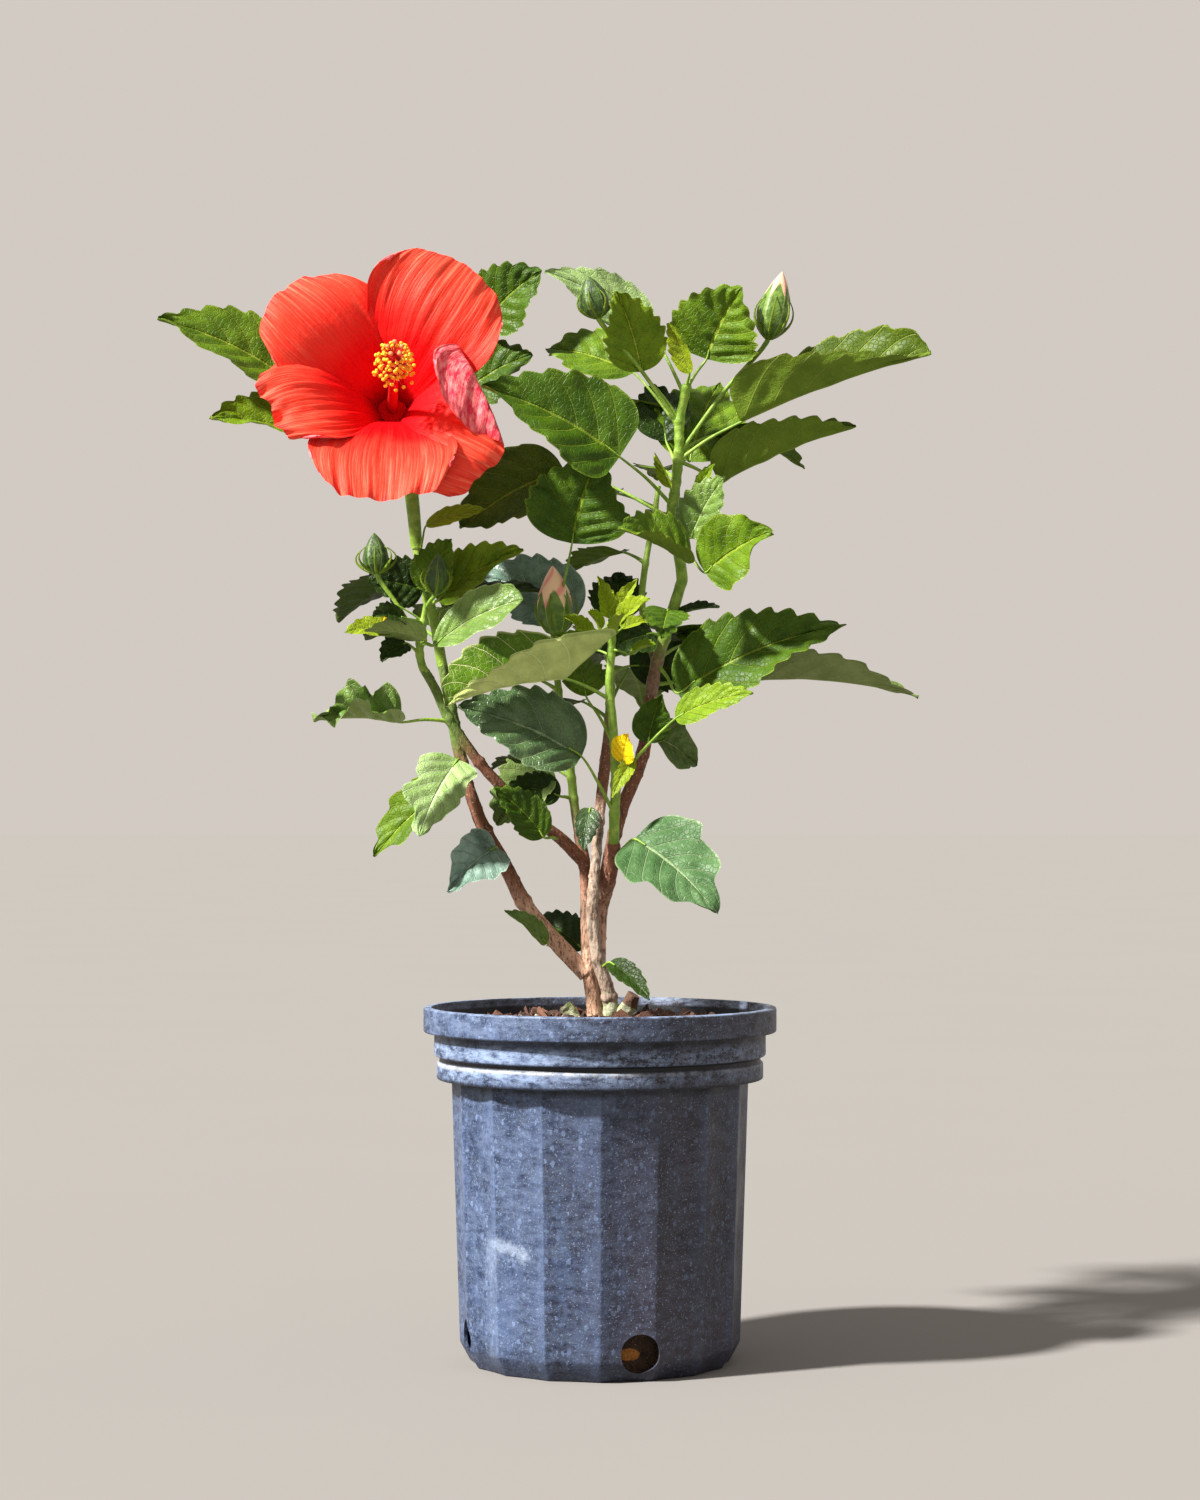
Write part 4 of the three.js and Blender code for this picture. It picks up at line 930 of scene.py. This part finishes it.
right_bough_line = curve_through(right_bough_curve[1:-1])
right_shoot = grown_on(right_bough_line, [(26, 9, 323), (30, 8, 337), (35, 7, 353), (38, 6.3, 363)])
dress_shoot("right_shoot", right_shoot, 2.9, 2.6, [
    (348, 3, 294, 0, 24, 335, 9, 12, 30, 20, "dark"),
    (326, 20, 313, -46, 87, 344, 21, 44, 60, 16, "deep", {"teeth": 10, "depth": 3.2, "taper": 1.15}),
    (316, 38, 8, 2, 89, 352, -5, 38, -8, 46, "grey", {"taper": 1.15}),
    (350, 6, 250, 10, 30, 262, -30, 22, 70, 12, "deep"),
    (338, 6, 200, 20, 32, 215, -20, 24, 60, 12, "dark"),
    *spiral(right_shoot, 5, 3, 314, 342, 62, 18, 54, 24, ["deep", "mid"]),
], 1, green_from=332)


# Tall shoot: the green leader, with the highest leaves, two pairs of big ones spread to the left
# and right, the small leaves of a side twig in the middle, and two buds on long stalks.
seam = abs(reckon("SINE", SURFACE.y * (3 * math.pi)))


def sepals(first, second, seam_width, pale, strength):
    """Two greens in clouds, with a paler line of the given width and strength along each seam."""
    green = mix(spread(noise(300, 3), 0.4, 0.65), first, second)
    return mix(spread(seam, seam_width, 0.0, 0, strength), green, pale)


bud_finish = finish("bud_green", sepals((34, 60, 12), (64, 94, 26), 0.22, (118, 142, 66), 0.7), noise(900, 3),
                    0.0004, Roughness=0.5)
wound = reckon("SINE", SURFACE.y * 11.0 + SURFACE.x * 16.0)
twisted = mix(spread(wound, 0.2, 0.95), (240, 202, 166), (232, 146, 134))
blush = mix(spread(SURFACE.x + seam * -0.26, 0.36, 0.40),
            sepals((74, 106, 28), (112, 142, 52), 0.2, (160, 180, 96), 0.6), twisted)
blush_finish = finish("bud_blush", blush, noise(700, 3), 0.0004, Roughness=0.5)
shut = mix(spread(SURFACE.x + seam * -0.2, 0.60, 0.64),
           sepals((66, 98, 24), (106, 136, 48), 0.2, (160, 180, 96), 0.6), (230, 178, 150))
shut_finish = finish("bud_shut", shut, noise(700, 3), 0.0004, Roughness=0.5)
bud_finishes = {0: bud_finish, 1: blush_finish, 2: LEAF["deep"], 3: stalk_finish, 4: shut_finish}


def bud(place, length, turn, lift, bud_length, bud_turn, bud_lift, width, look=0, bracts=7, spare=0.6):
    """A bud on its stalk: a spindle whose radius swells to width / 2 at 0.38 of its height, with
    shallow lobes that wind round it, and a cage of thin bracts about its foot that bow out by
    1.2 + (width / 2 + spare) sin(0.85 pi s)^0.8."""
    base = place + heading(turn, lift) * length
    way = heading(bud_turn, bud_lift)
    curve = curve_through([
        place, (place + base) / 2 + (0, 0, length * 0.03), base, base + way * bud_length * 0.3])
    t = np.linspace(0, 1, 22)
    made = [tube(along(curve, t), 0.95 + 0.5 * t ** 4, 9, finish=3)]
    u = np.linspace(0, 1, 36)
    swelling = [0, 0.06, 0.2, 0.38, 0.62, 0.84, 0.95, 1], [0.15, 0.60, 0.92, 1, 0.84, 0.46, 0.18, 0.03]
    profile = np.interp(u, *swelling) * width / 2
    angle = all_round(30)
    lobes = 1 + 0.07 * np.cos(5 * angle[None] + 2.4 * u[:, None]) * np.sin(np.pi * u[:, None])
    spindle = tube(base + way * (u * bud_length)[:, None], profile[:, None] * lobes, len(angle), finish=look)
    across = np.abs(angle / np.pi - 1)
    spindle["surface"] = np.stack([
        np.append(np.repeat(u, len(angle)), [0, 1]), np.append(np.tile(across, len(u)), [0.5, 0.5])], -1)
    made.append(spindle)
    first = np.cross(way, [0.3, 1, 0.2])
    first /= np.linalg.norm(first)
    second = np.cross(way, first)
    s = np.linspace(0, 1, 12)
    for number in range(bracts):
        around = 2 * math.pi / bracts * number + bud_turn
        out = first * math.cos(around) + second * math.sin(around)
        bow = 1.2 + (width / 2 + spare) * np.sin(0.85 * np.pi * s) ** 0.8
        route = base + way * (0.4 + bud_length * 0.62 * s)[:, None] + out * bow[:, None]
        made.append(tube(route, 0.85 * (1 - 0.8 * s), 7, finish=2))
    return made


tall_shoot = grown_on(right_shoot, [
    (36.8, 5, 379), (33.5, 3.2, 393), (35.2, 2, 407), (37.1, 0, 426), (37.4, -1, 440), (39.3, -3, 449),
    (40.7, -5, 456)])
dress_shoot("tall_shoot", tall_shoot, 2.7, 2.0, [
    (400, 39, 221, 32, 73, 194, 25, 54, 60, 20, "deep", {"rise": 0.3}),
    (436, 37, 151, 49, 48, 157, 17, 38, 50, 12, "mid"),
    (431, 16, 67, -35, 50, 58, 55, 44, 70, 8, "mid"),
    (417, 19, 114, 50, 33, 116, 60, 28, 60, 12, "dark"),
    (421, 23, 20, -25, 70, 347, 21, 44, -6, (66, 50), "olive", {"rise": 0.34, "droop": 14}),
    (421, 35, 341, 29, 94, 348, 18, 50, -8, (72, 52), "olive",
     {"twist": -30, "rise": (0.6, 0.3), "taper": (0.5, 1.3), "droop": 14}),
    (451, 37, 148, 60, 58, 193, 27, 28, 60, 10, "mint", {"depth": 1.2}),
    (440, 29, 199, 49, 41, 234, 60, 30, 75, 12, "bright", {"quilt": 1.3}),
    (454, 17, 348, 55, 38, 322, 57, 44, 75, 10, "mid", {"quilt": 1.2, "rise": 0.45}),
    (455, 8, 282, 41, 27, 224, 57, 13, 60, 20, "lime", {"toward": 225}),
    (405, 9, 256, 17, 20, 233, 50, 10, 60, 25, "lime", {"toward": 225}),
    (388, 23, 333, 54, 16, 312, 48, 8, 60, 25, "bright"),
    (392, 36, 285, -36, 40, 207, 21, 38, 30, 32, "mid"),
    (380, 30, 297, -26, 42, 321, 24, 36, 70, 14, "mid",
     {"teeth": 4, "depth": 1.0, "quilt": 0.7, "wave": 1.8}),
    (393, 13, 337, -41, 35, 319, 53, 24, 60, 14, "pale"),
    (394, 58, 164, 25, 58, 190, -30, 42, 60, 14, "olive"),
    *spiral(tall_shoot, 11, 3, 404, 446, 75, 45, 50, 24, ["mid", "deep"]),
], 2)
make_piece("tall_shoot_buds", [
    *bud(place_at(tall_shoot, 438), 63, 203, 49, 20, 200, 75, 14),
    *bud(place_at(tall_shoot, 424), 68, 347, 51, 32, 350, 78, 15, look=4),
], bud_finishes, "leaf", "tall_shoot")


# Side shoot: it leaves the right stem just over the bark, runs up behind the leader and holds the
# leaves between it and the back.
side_shoot = curve_through([
    (26.4, 12.3, 326), (26.2, 14, 326.8), (25, 16, 331), (21.5, 18, 343), (20, 21, 358), (22, 25, 376),
    (26, 28, 398), (28, 30, 412)])
dress_shoot("side_shoot", side_shoot, 1.9, 1.2, spiral(
    side_shoot, 23, 3, 368, 408, 110, 40, 52, 22, ["deep", "mid", "dark"]), 3, green_from=336)


# Front shoot: fresh growth from the pale ring of the front bough, bright green, with a big folded
# leaf and a dull one to the left, a narrow one to the right, one leaf gone yellow, and a tuft of
# young leaves at the top.
front_bough_line = curve_through(front_bough_curve)
front_shoot = grown_on(front_bough_line, [
    (6.6, -17, 253), (7.3, -19, 268), (6.8, -20.5, 284), (5.6, -22, 301), (4.2, -22.5, 313),
    (5.1, -23, 327), (5.5, -24, 344)])
dress_shoot("front_shoot", front_shoot, 2.5, 1.6, [
    (308, 26, 212, 20, 60, 202, -13, 58, -8, (50, 76), "glow",
     {"rise": (0.12, 0.35), "taper": (1.35, 0.6), "sweep": (0.8, 0.2)}),
    (255, 34, 225, 51, 62, 190, 21, 44, 55, 10, "blue", {"quilt": 1.6}),
    (343, 4, 250, 41, 21, 235, 62, 10, 60, 30, "lime"),
    (342, 7, 298, 12, 22, 316, 26, 12, 60, 30, "lime"),
    (341, 8, 227, -9, 17, 249, 26, 10, 60, 30, "lime"),
    (331, 11, 324, -14, 16, 319, 15, 10, 40, 30, "bright"),
    (336, 9, 52, 33, 17, 37, 15, 10, 40, 25, "lime"),
    (335, 10, 200, 10, 18, 215, 30, 10, 60, 30, "lime"),
    (338, 9, 285, 5, 20, 275, 20, 10, 60, 30, "lime"),
    (328, 10, 150, 20, 19, 165, 20, 11, 60, 25, "bright"),
    (343, 5, 330, 50, 19, 345, 60, 9, 60, 30, "lime"),
    (269, 43, 332, 44, 42, 330, 15, 18, 60, 14, "bright"),
    (276, 7, 298, 21, 17, 285, 53, 14, 85, 10, "yellow", {"toward": 240, "teeth": 2}),
    (287, 30, 133, 50, 30, 100, 40, 22, 50, 15, "mid"),
    (268, 16, 325, 50, 22, 219, -54, 8, 80, 20, "lime"),
], 4)


# Middle shoot: it carries on the trunk, with the big glossy leaf in the middle of the plant, small
# olive leaves at its foot and one bud whose petals begin to show.
trunk_line = curve_through(trunk_curve[1:])
middle_shoot = grown_on(trunk_line, [
    (-12, 6, 259), (-14, 8, 276), (-16.5, 8, 290), (-19, 6, 309), (-20.7, 4, 325), (-22, 2, 339)])
dress_shoot("middle_shoot", middle_shoot, 2.3, 1.4, [
    (336, 48, 302, 70, 42, 318, 67, 50, 75, 12, "deep", {"quilt": 1.2, "wave": 1.5}),
    (272, 11, 165, 27, 38, 188, -46, 32, 50, 16, "grey"),
    (281, 9, 77, -29, 36, 145, 8, 30, 30, 14, "olive"),
    (262, 8, 215, 10, 26, 190, 10, 18, 60, 15, "dark"),
    *spiral(middle_shoot, 31, 3, 268, 322, 150, 14, 42, 16, ["dark", "deep", "mid"]),
], 5, green_from=256)
make_piece("middle_shoot_buds", bud(place_at(middle_shoot, 336), 4, 300, 40, 33, 200, 86, 17, look=1),
           bud_finishes, "leaf", "middle_shoot")


# Rear shoot: it carries on the grey stem and fills the middle of the crown from behind.
grey_stem_line = curve_through(grey_stem_curve[1:])
rear_shoot = grown_on(grey_stem_line, [(4.7, 15, 306), (5.2, 20, 326), (3, 26, 342)])
dress_shoot("rear_shoot", rear_shoot, 2.4, 1.5, [
    (336, 20, 175, 42, 56, 168, 22, 42, 55, 10, "frost"),
    (338, 16, 70, 40, 30, 84, 55, 28, 75, 12, "dark"),
    (322, 10, 20, 20, 40, 15, -8, 32, 60, 12, "dark"),
    *spiral(rear_shoot, 47, 5, 296, 334, 108, 40, 58, 26, ["dark", "deep", "mid"]),
], 6, green_from=300)


# Left shoot: it carries on the left bough and bears the bloom; small and middling leaves stand
# close round it.
left_bough_line = curve_through(left_bough_curve)
left_shoot = grown_on(left_bough_line, [(-77.7, 6.5, 344), (-82, 5, 360), (-86, 4, 380)])
dress_shoot("left_shoot", left_shoot, 2.5, 2.2, [
    (376, 17, 293, 55, 30, 348, 14, 10, 75, 10, "lime", {"toward": 225}),
    (374, 17, 294, -60, 30, 313, 52, 22, 70, 14, "mid"),
    (353, 8, 301, 16, 49, 341, 28, 28, 45, (44, 14), "bright", {"quilt": 1.6}),
    (345, 8, 0, 63, 52, 16, 10, 26, 20, 16, "dark"),
    (356, 7, 250, 35, 28, 200, 8, 26, 75, 12, "dark"),
    *spiral(left_shoot, 3, 3, 332, 366, 112, 30, 50, 22, ["dark", "deep"]),
], 7)


# Crossing shoot: the tip of the bough that crosses in front of the left one, with a young lime
# leaf, two pale ones, three small ones, dark or yellow, and two small buds.
crossing_bough_line = curve_through(crossing_bough_curve)
crossing_shoot = grown_on(crossing_bough_line, [(-83.5, -20, 330), (-82, -21, 342), (-80.5, -22, 352)])
dress_shoot("crossing_shoot", crossing_shoot, 2, 1.3, [
    (339, 12, 200, 5, 26, 205, -4, 14, 50, 14, "lime"),
    (343, 12, 230, 10, 22, 230, 0, 14, 60, 14, "dark"),
    (334, 9, 316, -8, 50, 337, 24, 26, 55, 18, "pale", {"depth": 0.8, "rise": 0.75, "taper": 0.55}),
    (334, 7, 297, 10, 32, 210, 7, 15, -45, 20, "pale"),
    (344, 15, 190, 30, 14, 235, -60, 8, 70, 15, "yellow", {"teeth": 2}),
    (329, 8, 185, 40, 18, 224, -30, 14, 60, 20, "dark"),
], 8)
make_piece("crossing_shoot_buds", [
    *bud(place_at(crossing_shoot, 334), 38, 183, 58, 19, 150, 86, 12, spare=2.4),
    *bud(place_at(crossing_shoot, 350), 9, 320, 45, 19, 300, 80, 11),
], bud_finishes, "leaf", "crossing_shoot")


# Bloom shoot: it stands up behind the bloom beside the left shoot's tip and spreads the leaves that
# frame it on the left, above and on the right.
bloom_shoot = curve_through([
    (-85.2, 7.4, 374), (-85.3, 9.2, 375), (-86, 11, 379), (-87, 13, 389), (-90, 18, 410), (-93, 26, 434),
    (-95, 30, 455), (-94, 31, 468)])
dress_shoot("bloom_shoot", bloom_shoot, 2, 1.4, [
    (451, 52, 191, 10, 72, 196, 23, 42, 50, 20, "mid"),
    (430, 40, 191, 4, 56, 201, 8, 38, 45, 30, "bright"),
    (460, 47, 354, 36, 41, 338, 39, 36, 70, 14, "deep"),
    (448, 25, 5, 12, 45, 345, 28, 38, 60, 12, "deep"),
    *spiral(bloom_shoot, 71, 4, 404, 462, 100, 45, 54, 24, ["deep", "mid", "dark"]),
], 9)


# Low leaves: single leaves that stand on the woody limbs themselves, most of them hanging in front
# of the bare stems.
low_blades, low_stalks = [], []
for number, (line, row) in enumerate([
    (front_bough_line, (234, 19, 306, 30, 58, 321, -35, 44, 55, 14, "jade",
                        {"teeth": 3, "depth": 4.5, "rise": 0.36})),
    (left_bough_line, (236, 9, 262, 23, 42, 234, -29, 30, 50, (8, 60), "frost", {"teeth": 5, "depth": 1.6})),
    (left_bough_line, (199, 11, 266, -23, 31, 223, 31, 11, 60, 30, "pale")),
    (trunk_line, (193, 12, 100, -10, 36, 138, 24, 22, 60, 14, "dark")),
    (grey_stem_line, (183, 10, 295, 20, 33, 310, -30, 12, 60, 20, "dark")),
    (left_bough_line, (278, 12, 262, 12, 47, 236, -50, 34, 58, 16, "mint",
                       {"teeth": 3, "depth": 4.0, "lobes": 0.3})),
    (left_bough_line, (264, 9, 180, 36, 52, 178, -42, 28, 45, 20, "mid", {"teeth": 4, "depth": 3.0})),
    (crossing_bough_line, (298, 24, 199, -2, 43, 207, 0, 42, 10, (22, 86), "pale",
                           {"lobes": 0.45, "wave": 3.0, "quilt": 2.0, "depth": 3.0})),
    (grey_stem_line, (255, 8, 235, 20, 22, 250, -66, 12, 80, 20, "blue")),
    (right_bough_line, (283, 11, 285, 30, 26, 300, 60, 19, 80, 14, "deep", {"teeth": 3, "depth": 0.8})),
    (right_bough_line, (289, 9, 60, 20, 31, 41, -27, 26, 60, 14, "grey",
                        {"teeth": 3, "depth": 1.0, "quilt": 1.6})),
    (crossing_bough_line, (243, 14, 235, 5, 34, 200, 43, 20, 60, 14, "deep")),
]):
    blades, stalks = leafy(lambda height: place_at(line, height), [row], 20 + number)
    low_blades += blades
    low_stalks += stalks
low_nodes = [
    "low_right_leaf", "low_left_leaf", "low_slim_leaf", "low_rear_leaf", "low_foot_leaf", "lobed_leaf",
    "lobed_rear_leaf", "curled_leaf", "stem_leaf", "right_upper_leaf", "right_hanging_leaf", "crossing_leaf"]
make_piece("low_leaf_blades", low_blades, leaf_finishes, "leaf", *low_nodes)
make_piece("low_leaf_stalks", low_stalks, {0: stalk_finish}, "leaf", *low_nodes)


# Bloom: five thin red petals that flare from a deep throat and lie one over the next, the lowest on
# the right folded over itself, round a long column set with yellow stamens and tipped with five
# pads. A green cup of sepals and a ring of bracts hold it on its stalk.
axis = heading(275, 22)
right = np.cross([0, 0, 1.0], axis)
right /= np.linalg.norm(right)
up = np.cross(axis, right)
bloom_centre = np.array([-98.7, -38, 460.6])
throat_depth, throat_aside, cup_length, column_length = 46, 4.4, 18, 57
throat = bloom_centre - axis * throat_depth + right * throat_aside
calyx_foot = throat - axis * cup_length
fold_out, fold_side = 0.645, 0.764


def outward(degrees):
    """The way out from the bloom's axis at an angle: right cos + up sin."""
    return right * math.cos(math.radians(degrees)) + up * math.sin(math.radians(degrees))


def petal(turn, reach, width, roll, number, ruffle=1.0, crease=1e3):
    """A petal over u from throat to rim and v across: it leaves the throat along the bloom's axis,
    flares out as u^1.25, less towards the sides, and rolls back as u^4, from a throat that lies
    beside the middle by 4.4 mm (1 - u)^2. Creases that fan out from the throat, and ruffles that
    grow towards the rim, are added along the axis. What lies d beyond a line at the distance
    crease is folded over it: r sin(d / r) outwards and r (1 - cos(d / r)) forwards for half a
    turn, and then back along the petal."""
    rows, columns = 84, 97
    u = np.linspace(0, 1, rows)[:, None]
    v = np.linspace(-1, 1, columns)[None, :]
    out = outward(turn)
    side = np.cross(axis, out)
    random = np.random.default_rng(number + 60)
    phase = random.uniform(0, 2 * np.pi, 8)
    uneven = (0.016 * np.sin(5 * v + phase[0]) + 0.010 * np.sin(11 * v + phase[1])
              + 0.004 * np.sin(27 * v + phase[2]))
    rounded = 1 - u ** 2 * (0.13 * v ** 2 + 0.16 * v ** 6)
    radius = 4 + (reach - 4) * u ** 1.25 * rounded * (1 + uneven * ruffle * u ** 6)
    forward = -throat_depth * (1 - u) ** 1.6 - roll * u ** 4 + 3 * np.sin(2.2 * v + number) * u
    fan = grid(u * 1.7, v * 6, number * 3.3)
    creases = (1.1 * grain(fan, 1.0, 80) + 0.7 * grain(fan * (1.4, 2.3, 1), 1.0, 81)
               + 0.36 * grain(fan * (2, 5, 1), 1.0, 82))
    crumple = grain(grid(u * 8, v * 8, number * 5.1), 1.0, 90)
    ruffled = (1.6 * np.sin(5.5 * v + phase[3] + 2 * u) * u ** 3
               + 1.0 * np.sin(13 * v + phase[4] + 3 * u) * u ** 7
               + 0.5 * np.sin(29 * v + phase[5] + 5 * u) * u ** 14)
    forward = (forward + creases * smooth_step(0.1, 0.45, u)
               + ruffle * (ruffled + 0.7 * crumple * u ** 3) + 3.2 * v * u)
    half = 3 + (width / 2 - 3) * np.sin(np.minimum(1, 1.25 * u) * np.pi / 2) ** 0.9
    across = half * np.sin(1.35 * v) / math.sin(1.35) * (1 - 0.15 * u ** 6)
    beyond = np.maximum(0, fold_out * radius + fold_side * across - crease)
    curl = 2.4 + 0.03 * beyond
    wound = np.minimum(beyond / curl, np.pi)
    flat = np.maximum(0, beyond - np.pi * curl)
    moved = curl * np.sin(wound) - flat - beyond
    radius = radius + fold_out * moved
    across = across + fold_side * moved
    forward = forward + curl * (1 - np.cos(wound)) + 0.12 * flat
    top = (bloom_centre + out * (radius - 0.16 * across ** 2 / reach)[..., None] + side * across[..., None]
           + axis * forward[..., None] + right * (throat_aside * (1 - u) ** 2)[..., None])
    normal = facing(top)
    normal *= np.sign((normal * axis).sum(-1)[rows // 2, columns // 4])
    return sheet(top, (top - BLADE_THICKNESS * normal)[1:-1, 1:-1], u, v, 0)


streaks = noise(1.0, 4, 0.6, stretched(SURFACE, (2.6, 60.0, 1.0)))
wandering = SURFACE.x + (noise(60, 4, 0.6) - 0.5) * 0.4 + (streaks - 0.5) * 0.5
red = mix(spread(SURFACE.x, 0.06, 0.24), (150, 0, 10), (224, 5, 13))
red = mix(spread(wandering, 0.38, 0.90), red, (243, 68, 48))
red = mix(spread(streaks, 0.56, 0.70, 0, 0.38), red, (206, 8, 18))
# Painted sunlight: lighter coral streaks towards the rim.
sunny = spread(streaks, 0.50, 0.34, 0, 0.6) * spread(SURFACE.x, 0.45, 0.95)
red = mix(sunny, red, (253, 138, 108))
red = mix(spread(wandering, 0.97, 1.08, 0, 0.8), red, (200, 12, 34))
wrinkles = noise(1.0, 5, 0.7, stretched(SURFACE, (14.0, 34.0, 1.0)))
back = mix(spread(wrinkles, 0.40, 0.62), (216, 44, 70), (252, 138, 138))
petal_finish = finish("red_petal", mix(TONE, red, back), streaks + noise(420, 3, 0.6) * 0.35, 0.0007,
                      Roughness=0.5, Specular_IOR_Level=0.12)
make_piece("petals", [
    petal(56, 70, 70, 9, 0, 0.6),
    petal(137, 63, 66, 8, 1, 0.7),
    petal(198, 57, 52, 10, 2, 2.2),
    petal(268, 67, 70, 4, 3, 1.1),
    petal(331, 66, 92, 15, 4, 1.2, 37),
], {0: petal_finish}, "petal", "red_bloom")

column_finish = finish("red_column", mix(noise(300, 3), (176, 6, 14), (206, 28, 26)), noise(900, 2), 0.0003,
                       Roughness=0.45)
throat_finish = finish("dark_throat", mix(noise(300, 3), (190, 3, 10), (214, 6, 14)), noise(900, 2), 0.0003,
                       Roughness=0.8, Specular_IOR_Level=0.05)
pollen = mix(spread(noise(300, 3), 0.35, 0.65), (244, 150, 14), (252, 200, 48))
pollen_finish = finish("yellow_pollen", pollen, noise(2400, 2), 0.0002, Roughness=0.8)
pad_colour = mix(noise(700, 3), (232, 96, 50), (244, 148, 84))
pad_finish = finish("orange_stigma", pad_colour, noise(2400, 2), 0.0002, Roughness=0.6)

t = np.linspace(0, 1, 30)
column = [tube(throat + axis * (column_length * t)[:, None], 2.7 - 1.2 * t, 16),
          tube(throat + axis * (0.5 + 4 * t)[:, None], 4.2 + 2.5 * t, 24, finish=3)]
random = np.random.default_rng(90)
stamens = 120
for number in range(stamens):
    share = (number + 0.5) / stamens
    foot_way = 37 + 19 * share
    out = outward(GOLDEN_ANGLE * number)
    foot = throat + axis * foot_way + out * 1.4
    tip = (throat + axis * (foot_way + random.uniform(0.5, 4))
           + out * random.uniform(5.5, 10.6) * (1 - 0.45 * share ** 2))
    s = np.linspace(0, 1, 5)[:, None]
    column.append(tube(foot + (tip - foot) * s, np.full(5, 0.24), 5))
    t = np.linspace(-1, 1, 6)
    long_way = np.cross(axis, out) + axis * random.uniform(-0.6, 0.6)
    anther = 0.92 * np.sqrt(np.maximum(0.03, 1 - t ** 2))
    column.append(tube(tip + long_way * (t * 0.95)[:, None], anther, 7, finish=1))
for number in range(5):
    out = outward(72 * number + 20)
    foot = throat + axis * column_length
    tip = foot + axis * 4.5 + out * 3.4
    s = np.linspace(0, 1, 6)[:, None]
    column.append(tube(foot + (tip - foot) * s, np.full(6, 0.4), 7))
    t = np.linspace(-1, 1, 9)
    pad = 1.15 * np.sqrt(np.maximum(0.02, 1 - t ** 2))
    column.append(tube(tip + axis * (t * 0.9)[:, None], pad, 12, finish=2))
column_finishes = {0: column_finish, 1: pollen_finish, 2: pad_finish, 3: throat_finish}
make_piece("stamen_column", column, column_finishes, "petal", "red_bloom")

stalk_way = grown_on(left_shoot, [(-88, 2, 400), (-92, 7, 424), tuple(calyx_foot)])
t = np.linspace(0, 1, 80)
u = np.linspace(0, 1, 34)
cup_radius = np.interp(u, [0, 0.15, 0.6, 0.95, 1], [0.6, 3.4, 4.6, 4.7, 0.6])
angle = all_round(40)
ridges = 1 + 0.05 * np.cos(5 * angle[None]) * u[:, None]
calyx = [
    tube(along(stalk_way, t), 2.8 + 1.3 * t + 0.5 * np.exp(-((t - 0.72) * 30) ** 2), 16, finish=3),
    tube(calyx_foot + axis * (u * 19 - 1)[:, None], cup_radius[:, None] * ridges, len(angle), finish=0)]
for number in range(5):
    out = outward(72 * number + 10)
    side = np.cross(axis, out)
    s = np.linspace(0, 1, 16)[:, None, None]
    x = np.linspace(-1, 1, 9)[None, :, None]
    ahead = 12 * s - 2
    clear = 6.4 + 64 * (1 - (1 - np.maximum(ahead, 0) / throat_depth) ** 0.625) ** 1.25
    front = (calyx_foot + axis * (cup_length + ahead) + out * (clear - 0.5 * x ** 2)
             + side * x * 4.6 * (1 - s) ** 0.7)
    shell = np.concatenate([front.reshape(-1, 3), (front + out * 0.7).reshape(-1, 3)])
    count = s.size * x.size
    index = np.arange(count).reshape(s.size, x.size)
    outer = cells(index)[:, [0, 3, 2, 1]]
    border = np.concatenate([index[:, 0], index[-1, 1:], index[-2::-1, -1], index[0, -2:0:-1]])
    wall = np.stack([border, np.roll(border, -1), np.roll(border, -1) + count, border + count], -1)
    faces = np.concatenate([outer, outer[:, ::-1] + count, wall[:, ::-1]])
    calyx.append(part(shell, faces, surface=np.full((2 * count, 2), 0.4)))
bracts = 7
for number in range(bracts):
    t = np.linspace(0, 1, 14)
    out = outward(360 / bracts * number)[None] * (3 + 9 * t ** 1.3)[:, None]
    route = calyx_foot + axis * (1 + 13 * t - 3 * t ** 2)[:, None] + out
    calyx.append(tube(route, 0.9 * (1 - t ** 2) + 0.1, 7, finish=2))
make_piece("bloom_calyx", calyx, bud_finishes, "leaf", "red_bloom")
